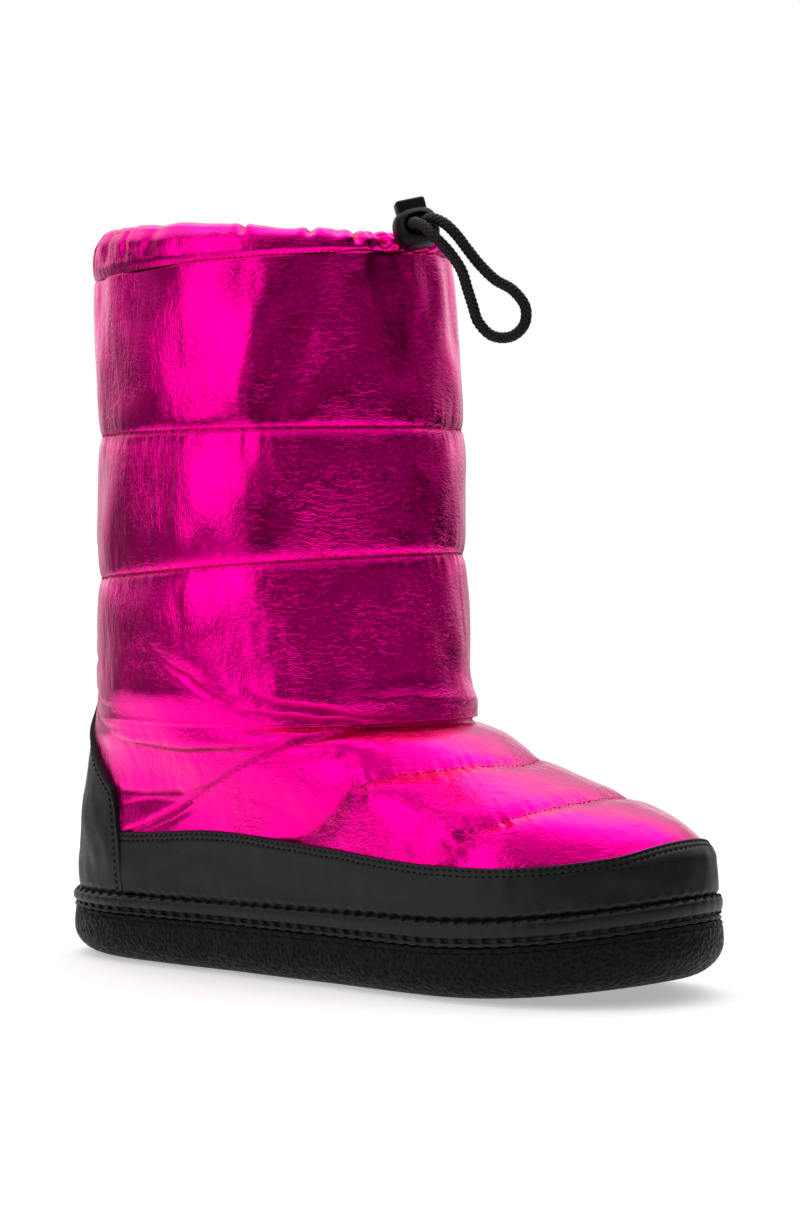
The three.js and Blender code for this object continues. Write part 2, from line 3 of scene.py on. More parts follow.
import bmesh
import bpy
import numpy as np
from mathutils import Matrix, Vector


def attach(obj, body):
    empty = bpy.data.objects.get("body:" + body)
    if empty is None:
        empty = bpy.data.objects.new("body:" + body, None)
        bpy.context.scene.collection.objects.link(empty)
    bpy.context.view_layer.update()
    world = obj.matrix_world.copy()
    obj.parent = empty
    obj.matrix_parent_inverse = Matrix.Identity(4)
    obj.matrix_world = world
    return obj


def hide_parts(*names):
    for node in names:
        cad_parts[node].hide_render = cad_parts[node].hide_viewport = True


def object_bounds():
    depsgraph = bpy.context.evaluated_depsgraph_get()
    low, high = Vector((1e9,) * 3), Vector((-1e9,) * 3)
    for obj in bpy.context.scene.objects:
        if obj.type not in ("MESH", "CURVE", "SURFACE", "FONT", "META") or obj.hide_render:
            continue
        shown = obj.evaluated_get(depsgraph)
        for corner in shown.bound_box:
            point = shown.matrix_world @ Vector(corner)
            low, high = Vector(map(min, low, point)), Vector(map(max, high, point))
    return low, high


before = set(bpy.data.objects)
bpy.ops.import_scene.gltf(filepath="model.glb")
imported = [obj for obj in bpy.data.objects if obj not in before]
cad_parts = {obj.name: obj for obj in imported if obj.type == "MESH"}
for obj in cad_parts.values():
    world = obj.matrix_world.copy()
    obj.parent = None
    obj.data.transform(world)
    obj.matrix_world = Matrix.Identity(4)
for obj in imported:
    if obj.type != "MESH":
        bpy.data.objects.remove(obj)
cad_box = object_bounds()

# The picture: the boot stands on a white sweep. A tall soft light stands to the left of the camera and
# ends in a sharp edge, another hangs overhead, the sweep glows behind, and the room in front is dim.
CAMERA_TURN, CAMERA_RISE = math.radians(37.4), math.radians(1.7)
CAMERA_AWAY, CAMERA_AIM = 1.282, Vector((0, 0, 0.137))
PICTURE_HEIGHT, FOCAL_PIXELS, PICTURE_SHIFT = 1209, 3445, 18


class Wire:
    """A node's socket that takes part in sums, so that shader maths reads as plain expressions."""

    def __init__(self, tree, socket):
        self.tree, self.socket = tree, socket

    def work(self, operation, *values):
        node = self.tree.nodes.new("ShaderNodeMath")
        node.operation = operation
        for socket, value in zip(node.inputs, values):
            join(self.tree, socket, value)
        return Wire(self.tree, node.outputs[0])

    def __add__(self, other):
        return self.work("ADD", self, other)

    def __sub__(self, other):
        return self.work("SUBTRACT", self, other)

    def __rsub__(self, other):
        return self.work("SUBTRACT", other, self)

    def __mul__(self, other):
        return self.work("MULTIPLY", self, other)

    def __pow__(self, other):
        return self.work("POWER", self, other)

    __radd__, __rmul__ = __add__, __mul__


def join(tree, socket, value):
    if isinstance(value, Wire):
        tree.links.new(value.socket, socket)
    else:
        socket.default_value = value


class Finish:
    """A node tree with one way to add any node: its type, its settings, then its sockets."""

    def __init__(self, owner, constants=None):
        owner.use_nodes = True
        self.owner, self.tree = owner, owner.node_tree
        self.shader = self.tree.nodes.get("Principled BSDF")
        for name, value in (constants or {}).items():
            self.shader.inputs[name].default_value = value

    def node(self, kind, settings=None, sockets=None, out=0):
        made = self.tree.nodes.new("ShaderNode" + kind)
        for name, value in (settings or {}).items():
            if name == "stops":
                ramp = made.color_ramp
                while len(ramp.elements) < len(value):
                    ramp.elements.new(0.5)
                for stop, (place, grey) in zip(ramp.elements, value):
                    stop.position = place
                    stop.color = (*grey, 1) if isinstance(grey, tuple) else (grey, grey, grey, 1)
            else:
                setattr(made, name, value)
        for name, value in (sockets or {}).items():
            join(self.tree, made.inputs[name], value)
        return Wire(self.tree, made.outputs[out])

    def mix(self, amount, under, over, how="MIX"):
        settings = {"data_type": "RGBA", "blend_type": how}
        return self.node("Mix", settings, {0: amount, 6: under, 7: over}, out=2)

    def ramp(self, value, *stops):
        return self.node("ValToRGB", {"stops": stops}, {0: value})

    def place(self, stretch=(1, 1, 1)):
        """Where on the piece, in metres, with each axis stretched."""
        point = self.node("TexCoord", out="Object")
        return self.node("VectorMath", {"operation": "MULTIPLY"}, {0: point, 1: stretch})

    def noise(self, size, stretch=(1, 1, 1), detail=2.0, twist=0.0, rough=0.5):
        """Soft noise whose lumps are about a size in millimetres across."""
        sockets = {"Scale": 1000 / size, "Detail": detail, "Distortion": twist, "Roughness": rough}
        return self.node("TexNoise", {}, {"Vector": self.place(stretch), **sockets})

    def cells(self, scale, smoothness):
        """Rounded pebbles or pores, so many to the metre."""
        sockets = {"Vector": self.place(), "Scale": scale, "Smoothness": smoothness}
        return self.node("TexVoronoi", {"feature": "SMOOTH_F1"}, sockets)

    def bump(self, height, depth, under=None):
        """Relief of a depth in millimetres, over any relief that is already there."""
        sockets = {"Height": height, "Distance": depth / 1000, "Strength": 1.0}
        return self.node("Bump", {}, sockets | ({"Normal": under} if under else {}))

    def feed(self, **wires):
        for name, value in wires.items():
            join(self.tree, self.shader.inputs[name.replace("_", " ")], value)
        return self.owner


def material(name, constants):
    return Finish(bpy.data.materials.new(name), constants)


camera = bpy.data.objects.new("camera", bpy.data.cameras.new("camera"))
camera_back = Vector((
    math.sin(CAMERA_TURN) * math.cos(CAMERA_RISE),
    -math.cos(CAMERA_TURN) * math.cos(CAMERA_RISE),
    math.sin(CAMERA_RISE),
))
camera.location = CAMERA_AIM + camera_back * CAMERA_AWAY
camera.rotation_euler = (-camera_back).to_track_quat("-Z", "Y").to_euler()
camera.data.lens = FOCAL_PIXELS * camera.data.sensor_width / PICTURE_HEIGHT
camera.data.shift_x = PICTURE_SHIFT / PICTURE_HEIGHT
camera.data.clip_start = 0.01
bpy.context.scene.collection.objects.link(camera)
bpy.context.scene.camera = camera
bpy.context.scene.view_settings.view_transform = "Standard"


def soft_light(name, place, aim, width, height, glow):
    """A flat soft light that faces a point, with a glow that is its own brightness."""
    lamp = bpy.data.lights.new(name, "AREA")
    lamp.shape, lamp.size, lamp.size_y = "RECTANGLE", width, height
    lamp.energy = glow * math.pi * width * height
    light = bpy.data.objects.new(name, lamp)
    light.location = place
    light.rotation_euler = (Vector(aim) - Vector(place)).to_track_quat("-Z", "Y").to_euler()
    light.visible_camera = False
    bpy.context.scene.collection.objects.link(light)


soft_light("side_light", (-0.474, -1.25, 0.60), (-0.474, 0, 0.60), 0.97, 1.2, 1.4)
soft_light("top_light", (-0.1, 0.3, 1.45), (0, 0, 0.1), 1.9, 1.5, 0.8)

world = bpy.data.worlds.new("studio")
bpy.context.scene.world = world
studio = Finish(world)
direction = studio.node("SeparateXYZ", {}, {0: studio.node("TexCoord", out="Generated")})
across, ahead, up = (Wire(studio.tree, direction.socket.node.outputs[i]) for i in range(3))
behind = ahead * math.cos(CAMERA_TURN) - across * math.sin(CAMERA_TURN) + up * 0.75
glow = studio.ramp(behind * 0.5 + 0.5, (0.0, 0.022), (0.73, 0.022), (0.93, 0.5), (1.0, 0.62))
low_glow = studio.ramp(
    up * 0.5 + 0.5, (0.51, 0.0), (0.535, 0.42), (0.57, 0.42), (0.62, 0.0), (0.69, 0.0), (0.8, 0.65),
)
left_glow = studio.ramp(0.5 - across * 0.5, (0.78, 0.0), (0.88, 0.15), (0.96, 0.15), (1.0, 0.08))
glow = studio.mix(1.0, studio.mix(1.0, glow, low_glow, how="ADD"), left_glow, how="ADD")
room = studio.node("Background", {}, {"Color": glow, "Strength": 1.0})
white = studio.node("Background", {}, {"Color": (1, 1, 1, 1), "Strength": 1.0})
seen = studio.node("LightPath", out="Is Camera Ray")
shown = studio.node("MixShader", {}, {0: seen, 1: room, 2: white})
join(studio.tree, studio.tree.nodes["World Output"].inputs[0], shown)

FLOOR_REACH, FLOOR_CORNERS = 6.0, 64
floor_mesh = bpy.data.meshes.new("floor")
floor_turns = np.arange(FLOOR_CORNERS) * 2 * math.pi / FLOOR_CORNERS
rim = [(FLOOR_REACH * math.cos(turn), FLOOR_REACH * math.sin(turn), 0) for turn in floor_turns]
floor_mesh.from_pydata(rim, [], [list(range(FLOOR_CORNERS))])
floor = bpy.data.objects.new("floor", floor_mesh)
bpy.context.scene.collection.objects.link(floor)
paper = material("white_paper", {"Base Color": (0.82, 0.82, 0.82, 1), "Roughness": 0.9})
paper.shader.inputs["Emission Color"].default_value = (1, 1, 1, 1)
paper.shader.inputs["Emission Strength"].default_value = 0.4
reach = paper.node("VectorMath", {"operation": "LENGTH"}, {0: paper.place()}, out="Value")
floor_mesh.materials.append(paper.feed(Alpha=paper.ramp(reach, (0.3, 1.0), (0.8, 0.0))))

# The sole: one moulding of black foam rubber with a rounded lower edge, a pebbled wall and a toe that is
# sprung up. Its underside has zigzag grooves, and the shell is cemented and stitched down on its top.
SOLE_LENGTH, BALL_WIDTH, SOLE_THICKNESS = 280, 108, 19
HALF_SOLE, HALF_BALL = SOLE_LENGTH / 2, BALL_WIDTH / 2
SOLE_EDGE_RADIUS, SOLE_EDGE_RISE, SOLE_BULGE = 14, 11, 0.8
TOE_SPRING, SPRING_START, TOE_SWING = 9.5, 0.34, 4
TREAD_DEPTH, TREAD_GROOVE, TREAD_PITCH, TREAD_MARGIN, TREAD_SKEW = 3, 4, 14, 8, 0.32
THROAT_HEIGHT = 94
# The half width over that of an oval, along the sole: outer side, inner side.
FOOTPRINT = [
    (0, 1.44, 1.44), (0.12, 1.15, 1.13), (0.22, 0.98, 0.95), (0.36, 0.88, 0.82), (0.5, 0.9, 0.83),
    (0.64, 1.01, 0.95), (0.76, 1.16, 1.08), (0.87, 1.3, 1.22), (1, 1.38, 1.38),
]
RUBBER_BLACK = (0.0008, 0.0008, 0.001, 1)
FULL_TURN = 2 * np.pi


def read(table, at):
    """A table's columns at places along its first, on smooth curves that never overshoot its rows."""
    rows = np.array(table, float)
    places, values = rows[:, 0], rows[:, 1:]
    slopes = np.diff(values, axis=0) / np.diff(places)[:, None]
    before, after = slopes[:-1], slopes[1:]
    both = np.where(before * after > 0, before + after, 1)
    between = np.where(before * after > 0, 2 * before * after / both, 0)
    tangents = np.concatenate([slopes[:1], between, slopes[-1:]])
    at = np.clip(at, places[0], places[-1])
    row = np.clip(np.searchsorted(places, at, side="right") - 1, 0, len(places) - 2)
    width = np.diff(places)[row][..., None]
    t = (at - places[row])[..., None] / width
    return (
        values[row] * (1 + 2 * t) * (1 - t) ** 2 + tangents[row] * width * t * (1 - t) ** 2
        + values[row + 1] * t * t * (3 - 2 * t) + tangents[row + 1] * width * t * t * (t - 1)
    )


def along_of(turn):
    """How far forward a turn is, from 0 at the heel to 1 at the toe."""
    return (1 - np.cos(turn)) / 2


def ease(share):
    """A share that sets off and arrives gently."""
    return share * share * (3 - 2 * share)


def middle_of(x):
    """The foot's middle line, which swings to the inner side in front."""
    return TOE_SWING * np.maximum(0, x / HALF_SOLE) ** 2


def outline(turn, back, front, width, oval):
    """Level outline: turn runs from the heel's middle over the outer side to the toe, and back inside."""
    along = along_of(turn)
    x = back + (front - back) * along
    sides = read(FOOTPRINT, along)
    full = np.where(np.sin(turn) >= 0, sides[..., 0], sides[..., 1])
    y = -np.sin(turn) * width * (full + (1 - full) * oval)
    return x, y + middle_of(x)


def footprint(turn):
    return outline(turn, -HALF_SOLE, HALF_SOLE, HALF_BALL, 0)


def sprung(points):
    """The toe's upward spring, which fades out from the sole up to the throat."""
    forward = np.maximum(0, (points[..., 0] / HALF_SOLE - SPRING_START) / (1 - SPRING_START))
    up = np.clip((points[..., 2] - SOLE_THICKNESS) / (THROAT_HEIGHT - SOLE_THICKNESS), 0, 1)
    lifted = points.copy()
    lifted[..., 2] += TOE_SPRING * forward**2 * (1 - ease(up))
    return lifted


def turns(columns):
    return np.arange(columns) * FULL_TURN / columns


def woven(rows, columns, closed=True):
    """The four corners of each face of a grid of points, row by row, closed round the boot."""
    r, c = np.meshgrid(np.arange(rows - 1), np.arange(columns if closed else columns - 1), indexing="ij")
    n = (c + 1) % columns
    faces = np.stack([r * columns + c, r * columns + n, (r + 1) * columns + n, (r + 1) * columns + c], -1)
    return faces.reshape(-1, 4)


def shape(name, points, faces, finishes, which=None, body="boot"):
    """A piece of the boot, from points in millimetres and the corners of its faces."""
    mesh = bpy.data.meshes.new(name)
    mesh.from_pydata((points.reshape(-1, 3) / 1000).tolist(), [], [list(map(int, f)) for f in faces])
    mesh.shade_smooth()
    for finish in finishes:
        mesh.materials.append(finish)
    if which is not None:
        mesh.polygons.foreach_set("material_index", np.array(which, np.int32))
    piece = bpy.data.objects.new(name, mesh)
    bpy.context.scene.collection.objects.link(piece)
    if body:
        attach(piece, body)
    return piece


def apply_all(piece):
    """The piece with its modifiers made real."""
    flat = bpy.data.meshes.new_from_object(piece.evaluated_get(bpy.context.evaluated_depsgraph_get()))
    piece.modifiers.clear()
    piece.data = flat


def carve(piece, cutter):
    """Cuts a closed block out of a piece, and keeps its smooth faces smooth."""
    cut = piece.modifiers.new("cut", "BOOLEAN")
    cut.object, cut.operation, cut.solver = cutter, "DIFFERENCE", "EXACT"
    apply_all(piece)
    bpy.data.objects.remove(cutter)


def sole_ring(turn, inset, height):
    """The sole's outline, moved in by a distance, at a height."""
    (x, y), (x1, y1), (x0, y0) = footprint(turn), footprint(turn + 0.01), footprint(turn - 0.01)
    length = np.hypot(x1 - x0, y1 - y0)
    points = np.stack([x - (y1 - y0) / length * inset, y + (x1 - x0) / length * inset, height + 0 * x], -1)
    return sprung(points)


SOLE_COLUMNS = 300
sole_turns = turns(SOLE_COLUMNS)
sole_rings = []
for angle in np.linspace(0, 0.92 * np.pi / 2, 9):
    sole_rings.append((SOLE_EDGE_RADIUS * (1 - np.sin(angle)), SOLE_EDGE_RISE * (1 - np.cos(angle))))
# The wall, a thin moulded line under its lip, and the lip's soft upper edge.
sole_rings += [(0, 12.2), (0.15, 14.5), (0.3, 16.4), (0.62, 16.75), (0.7, 16.95), (0.42, 17.2), (0.55, 18.2)]
sole_rings += [(0.95, 18.75), (1.9, SOLE_THICKNESS)]
rings = [sole_ring(sole_turns, inset, height) for inset, height in sole_rings]


def flat_faces(ring, height, shares):
    """Rings that shrink from an outline to its middle line, at shares of the way out."""
    spine = 0.9 * ring[0, 0] * np.cos(turns(len(ring)))
    rows = []
    for share in shares:
        x = spine + (ring[:, 0] - spine) * share
        y = middle_of(x) + (ring[:, 1] - middle_of(ring[:, 0])) * share
        rows.append(sprung(np.stack([x, y, height + 0 * x], -1)))
    return rows


under = flat_faces(sole_ring(sole_turns, SOLE_EDGE_RADIUS, 0), 0, (0.0, 0.25, 0.5, 0.75))
top = flat_faces(sole_ring(sole_turns, 1.9, SOLE_THICKNESS), SOLE_THICKNESS, (0.94, 0.7, 0.4, 0.0))
sole_points = np.concatenate(under + rings + top)
sole_grid = woven(len(under) + len(rings) + len(top), SOLE_COLUMNS)

rubber = material("pebbled_rubber", {"Specular IOR Level": 0.1})
pebbles = rubber.cells(620, 0.6)
patches = rubber.noise(2.2, detail=3.0, twist=0.6)
stone = rubber.noise(0.9, detail=2.0)
relief = pebbles * 0.9 + patches * 0.45 + stone * 0.3
# The rubber's colour is lighter where its pebbled relief stands highest.
raised_tone = rubber.ramp(relief, (0.5, 0.0), (1.0, 1.0))
rubber_black = rubber.feed(
    Base_Color=rubber.mix(raised_tone, RUBBER_BLACK, (0.0045, 0.0045, 0.0052, 1)),
    Roughness=rubber.ramp(relief, (0.5, 0.7), (1.0, 0.42)),
    Normal=rubber.bump(relief, 0.8),
)
outsole = shape("outsole_dressed", sole_points, sole_grid, [rubber_black])


def sewn(piece):
    """Joins a piece's points where they meet, so that it is closed."""
    whole = bmesh.new()
    whole.from_mesh(piece.data)
    bmesh.ops.remove_doubles(whole, verts=whole.verts, dist=1e-6)
    whole.to_mesh(piece.data)
    whole.free()


BLOCK_CORNERS = np.array([(x, y, z) for z in (-0.5, 0.5) for y in (-0.5, 0.5) for x in (-0.5, 0.5)])
BLOCK_FACES = np.array([(0, 2, 3, 1), (4, 5, 7, 6), (0, 1, 5, 4), (2, 6, 7, 3), (0, 4, 6, 2), (1, 3, 7, 5)])


def swung(points, turn):
    """Points turned about the upright axis."""
    cosine, sine = math.cos(turn), math.sin(turn)
    return points @ np.array([(cosine, sine, 0), (-sine, cosine, 0), (0, 0, 1)])


def tread_grooves(side):
    """Slanting blocks across one side of the tread, from its middle line to near the sole's edge."""
    margin = SOLE_EDGE_RADIUS + TREAD_MARGIN
    count = int(2 * (HALF_SOLE - margin) / TREAD_PITCH)
    points, faces = [], []
    for x in (np.arange(count + 1) - count / 2) * TREAD_PITCH:
        turn = np.array([math.acos(-x / HALF_SOLE)])
        edge = footprint(turn if side < 0 else FULL_TURN - turn)[1][0]
        length = side * (abs(edge) - margin)
        block = BLOCK_CORNERS * (TREAD_GROOVE, length, 2 * TREAD_DEPTH) + (0, length / 2, 0)
        faces += (BLOCK_FACES[:, ::side] + len(points) * 8).tolist()
        points.append(swung(block, side * TREAD_SKEW) + sprung(np.array([(x, middle_of(x), 0.0)]))[0])
    return shape("tread_blocks", np.concatenate(points), faces, [], None, None)


sewn(outsole)
for side in (-1, 1):
    carve(outsole, tread_grooves(side))
outsole.data.set_sharp_from_angle(angle=math.radians(40))
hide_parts("outsole")

# The shell: shiny pink foil cloth, quilted over thick padding. Three padded rows ring the shaft, and two
# curved seams cross the padded foot in front of the throat, where the shaft's lowest row hangs over it.
WALL, SHAFT_RISE, SHAFT_SETBACK, SHAFT_LENGTH, SHAFT_WIDTH = 6, 168, 17.6, 146.5, 121
QUILT_PUFF, THROAT_ROLL, SEAT, GAP = 1.5, 4, 19.3, 0.3
FOIL_PINK, FOIL_DEEP = (0.96, 0.0, 0.31, 1), (0.86, 0.0, 0.26, 1)
# The form's level sections, as shares: height, reach to the back, reach to the front, width, ovalness.
FOOT_SECTIONS = [
    (0, 0.966, 0.97, 0.936, 0), (0.16, 0.968, 0.972, 0.94, 0), (0.32, 0.965, 0.965, 0.945, 0.02),
    (0.44, 0.96, 0.925, 0.945, 0.08), (0.53, 0.955, 0.87, 0.945, 0.2), (0.62, 0.95, 0.765, 0.95, 0.36),
    (0.72, 0.945, 0.605, 0.96, 0.58), (0.82, 0.932, 0.445, 0.985, 0.78), (0.92, 0.914, 0.325, 1.04, 0.92),
]
# The shaft's: height, how far its back is set forward, length, width.
SHAFT_SECTIONS = [
    (0, 0.83, 1.055, 0.93), (0.07, 0.98, 1.03, 0.975), (0.3, 1, 1.01, 1), (0.63, 1.06, 0.99, 1),
    (1, 0.86, 0.98, 0.98),
]
SECTIONS = [
    (SOLE_THICKNESS + h * (THROAT_HEIGHT - SOLE_THICKNESS), -back * HALF_SOLE, front * HALF_SOLE,
     width * HALF_BALL, oval)
    for h, back, front, width, oval in FOOT_SECTIONS
] + [
    (THROAT_HEIGHT + h * SHAFT_RISE, back * SHAFT_SETBACK - HALF_SOLE,
     back * SHAFT_SETBACK - HALF_SOLE + length * SHAFT_LENGTH, width * SHAFT_WIDTH / 2, 1)
    for h, back, length, width in SHAFT_SECTIONS
]
# The shaft's seams: height as a share of its rise, and how far each climbs from heel to front.
QUILT_SEAMS = [(0.04, -0.08), (0.335, 0.07), (0.637, 0.016), (1.0, 0.055)]
# The seam between foot and shaft, and the foot's two quilting seams: turn from the heel, and height.
THROAT_SEAM = [
    (0, 36), (0.6, 43), (0.937, 53.3), (1.356, 70), (1.866, 84.4), (2.195, 89.6), (2.656, 93.2),
    (3.1416, 93.7),
]
FIRST_SEAM = [
    (1.5, 47), (1.594, 53.3), (1.999, 72.2), (2.348, 78.1), (2.572, 79.6), (2.852, 80.6), (3.1416, 80.2),
]
SECOND_SEAM = [
    (2.06, 43), (2.097, 48.5), (2.202, 56.7), (2.341, 61.5), (2.586, 65.9), (2.949, 68.9), (3.1416, 69.2),
]


def skin(turn, height, out=0.0):
    """A point of the boot's smooth form, moved out from it by a distance."""

    def bare(t, h):
        back, front, width, oval = np.moveaxis(read(SECTIONS, h), -1, 0)
        x, y = outline(t, back, front, width, oval)
        return np.stack([x, y, h + 0 * x], -1)

    turn, height = np.broadcast_arrays(np.asarray(turn, float), np.asarray(height, float))
    flat = bare(turn, height)
    around = bare(turn + 0.01, height) - bare(turn - 0.01, height)
    away = np.cross(around, bare(turn, height + 0.5) - bare(turn, height - 0.5))
    away /= np.linalg.norm(away, axis=-1, keepdims=True)
    return sprung(flat + away * np.asarray(out)[..., None])


def unevenness(points, size, seed, stretch=(1, 1, 1)):
    """Smooth waves of about one length in many directions, as padding under cloth makes."""
    chance = np.random.default_rng(seed)
    waves = chance.normal(size=(16, 3))
    waves *= (2 * np.pi / size * chance.uniform(0.7, 1.5, 16) / np.linalg.norm(waves, axis=1))[:, None]
    return np.sin((points * np.array(stretch)) @ waves.T + chance.uniform(0, FULL_TURN, 16)).sum(-1) / 4


def both_sides(half):
    """A line of turns and heights on the outer side, carried on over the toe to the inner side."""
    return half + [(FULL_TURN - t, h) for t, h in half[-2::-1]]


def run_along(path):
    """How far along a path each of its points is."""
    return np.concatenate([[0], np.cumsum(np.linalg.norm(np.diff(path, axis=0), axis=1))])


def laid(line, step=0.8):
    """Points along a line of turns and heights on the boot's skin, with how far along each one is."""
    line = np.array(line, float)
    places = np.linspace(0, len(line) - 1, 24 * len(line))
    smooth = read(np.column_stack([np.arange(len(line)), line]), places)
    run = run_along(skin(smooth[:, 0], smooth[:, 1]))
    at = np.arange(0, run[-1], step)
    fine = np.stack([np.interp(at, run, smooth[:, 0]), np.interp(at, run, smooth[:, 1])], -1)
    return fine, skin(fine[:, 0], fine[:, 1]), at


MOST_AT_ONCE = 4_000_000


def nearest(points, path, reach):
    """How far each point lies from a path, up to a reach, and the path's nearest point."""
    away, which = np.full(len(points), reach, float), np.zeros(len(points), int)
    low, high = path.min(0) - reach, path.max(0) + reach
    near = np.flatnonzero(((points > low) & (points < high)).all(1))
    for part in np.array_split(near, max(1, len(near) * len(path) // MOST_AT_ONCE)):
        gaps = np.linalg.norm(points[part, None] - path[None], axis=-1)
        which[part] = gaps.argmin(1)
        away[part] = np.minimum(gaps.min(1), reach)
    return away, which


def dent(away, width):
    """A soft dip, 1 deep, that fades out with the distance from its middle."""
    return np.exp(-((away / width) ** 2))


def seam_height(seam, turn):
    """How high a seam of the shaft runs."""
    return THROAT_HEIGHT + SHAFT_RISE * (seam[0] + seam[1] * (along_of(turn) - 0.5))


def casing_seam(turn):
    return seam_height(QUILT_SEAMS[-1], turn)


# Folds of the foil, as turns and heights along each: how deep and how narrow its crease is, and how far
# the cloth stands up on one side of it and sinks on the other. The first are where the ankle bends.
FOLDS = [
    ([(1.40, 121), (1.649, 110), (1.80, 104), (1.96, 98.1)], 1.5, 1.1, -0.8),
    ([(1.80, 101.5), (1.957, 99.6), (2.257, 97), (2.75, 95.0)], 1.8, 1.2, 0.9),
    ([(1.93, 107.5), (1.999, 104.8), (2.32, 100.6), (2.607, 97.0), (3.0, 96.2)], 2.2, 1.5, 1.0),
    ([(0.9, 88), (1.097, 84.6), (1.35, 83.2), (1.607, 84.4), (2.1, 89.2)], 1.7, 1.1, 0.9),
    ([(0.74, 65.8), (0.95, 65.6), (1.237, 68.2), (1.44, 72.6)], 0.9, 1.0, 0.3),
    ([(0.78, 59), (1.0, 63.0), (1.2, 63.5)], 0.4, 1.2, 0.15),
    ([(1.38, 68.5), (1.52, 66), (1.64, 59)], 0.3, 1.2, -0.1),
    ([(-0.9, 112), (-0.3, 118), (0.3, 118.5), (0.8, 111)], 1.2, 1.5, -0.7),
    ([(0.2, 109), (0.5, 106), (0.75, 100), (1.0, 97.5)], 0.9, 1.3, 0.5),
    ([(0.5, 124), (0.70, 115), (0.86, 110)], 0.8, 1.3, 0.5),
    ([(0.62, 96), (0.80, 91.5), (1.05, 90)], 0.7, 1.3, 0.4),
    ([(3.36, 95.5), (3.50, 99), (3.58, 104), (3.80, 108)], 2.4, 1.4, 1.0),
    ([(3.95, 96), (4.2, 101), (4.5, 103)], 1.4, 1.3, 0.8),
    ([(4.3, 93), (4.7, 90), (5.1, 84)], 1.4, 1.3, -0.8),
    ([(4.9, 70), (5.2, 66), (5.45, 62)], 1.2, 1.3, -0.7),
    ([(5.4, 116), (5.1, 109), (4.8, 106)], 1.2, 1.3, 0.6),
    # The middle panel's long upright creases.
    ([(2.62, 199), (2.66, 188), (2.655, 172), (2.64, 158)], 0.55, 0.9, 0.35),
    ([(2.86, 199), (2.92, 188), (2.98, 174), (3.05, 162), (3.08, 154)], 0.6, 1.0, 0.4),
    ([(2.80, 199), (2.86, 190), (2.92, 178)], 0.35, 0.9, 0.2),
    ([(2.97, 198), (3.03, 190), (3.10, 181)], 0.35, 0.9, -0.2),
    ([(2.93, 176), (2.97, 162), (2.98, 150)], 0.4, 1.0, 0.3),
    ([(1.55, 199), (1.56, 186), (1.53, 168), (1.55, 152)], 0.4, 1.2, 0.3),
    ([(4.1, 198), (4.05, 184), (4.12, 166)], 0.5, 1.0, 0.3),
    ([(5.3, 196), (5.25, 180), (5.3, 160)], 0.5, 1.0, 0.3),
    # The lower panel's upright creases at the front.
    ([(2.90, 148), (2.95, 136), (2.97, 122), (2.92, 108)], 0.55, 1.1, 0.45),
    ([(3.08, 147), (3.11, 134), (3.16, 118)], 0.45, 1.1, 0.3),
    ([(3.4, 146), (3.42, 132), (3.45, 120)], 0.4, 1.1, 0.3),
    ([(1.62, 148), (1.60, 138), (1.63, 128)], 0.3, 1.2, 0.3),
]
# Soft hollows, with their depth and half width: under the gathered collar and on the foot.
HOLLOWS = [
    ([(2.44, 264), (2.34, 240), (2.20, 218), (2.06, 202)], 2.3, 7.5),
    ([(2.86, 264), (2.88, 248), (2.84, 236)], 1.0, 6.0),
    ([(3.12, 264), (3.16, 250), (3.14, 240)], 0.9, 5.0),
    ([(3.45, 264), (3.5, 246), (3.45, 226)], 1.1, 7.0),
    ([(4.1, 264), (4.15, 246), (4.05, 222)], 1.3, 8.0),
    ([(5.0, 264), (5.02, 244), (5.2, 218)], 1.3, 8.0),
    ([(5.75, 264), (5.8, 246), (5.7, 232)], 0.9, 6.0),
    ([(0.9, 264), (0.95, 246), (1.0, 226)], 0.6, 7.0),
    ([(2.0, 58), (2.12, 66), (2.3, 72)], 0.5, 6.0),
    ([(2.9, 86), (2.7, 84), (2.4, 83)], 0.5, 5.0),
]

# Rows of points: hidden under the rand, over the foot, round the ankle, then closer together at the
# seams. The last row turns in under the casing.
SHELL_COLUMNS = 440
shell_turns = turns(SHELL_COLUMNS)


def between(low, high, count, crowd=0.45):
    """Rows between two heights, crowded towards both."""
    u = np.arange(count) / count
    return [low + (high - low) * ((1 - crowd) * s + crowd * (0.5 - 0.5 * np.cos(np.pi * s))) for s in u]


def spread(rows):
    """Each point's turn and height, from rows that are level or follow a seam."""
    return np.tile(shell_turns, len(rows)), np.array([row + 0 * shell_turns for row in rows]).ravel()


def signed(turn):
    """A turn from the heel, less than half way round on either side."""
    return (turn + np.pi) % FULL_TURN - np.pi


def mark(piece, name, values):
    """Writes a value at each point of a piece, for its material to read."""
    marks = piece.data.attributes.new(name, "FLOAT", "POINT")
    marks.data.foreach_set("value", values.ravel().astype(np.float32))


quilt_lines = [seam_height(seam, shell_turns) for seam in QUILT_SEAMS]
cloth_rows = between(SEAT, 45, 7, 0) + between(45, THROAT_HEIGHT, 80, 0) + between(THROAT_HEIGHT, 124, 38, 0)
cloth_rows += between(124, quilt_lines[1], 18) + between(quilt_lines[1], quilt_lines[2], 36)
cloth_rows += between(quilt_lines[2], quilt_lines[3], 36) + [quilt_lines[3] - 0.05, quilt_lines[3] + 0.6]
cloth_turn, cloth_height = spread(cloth_rows)
smooth_cloth = skin(cloth_turn, cloth_height)

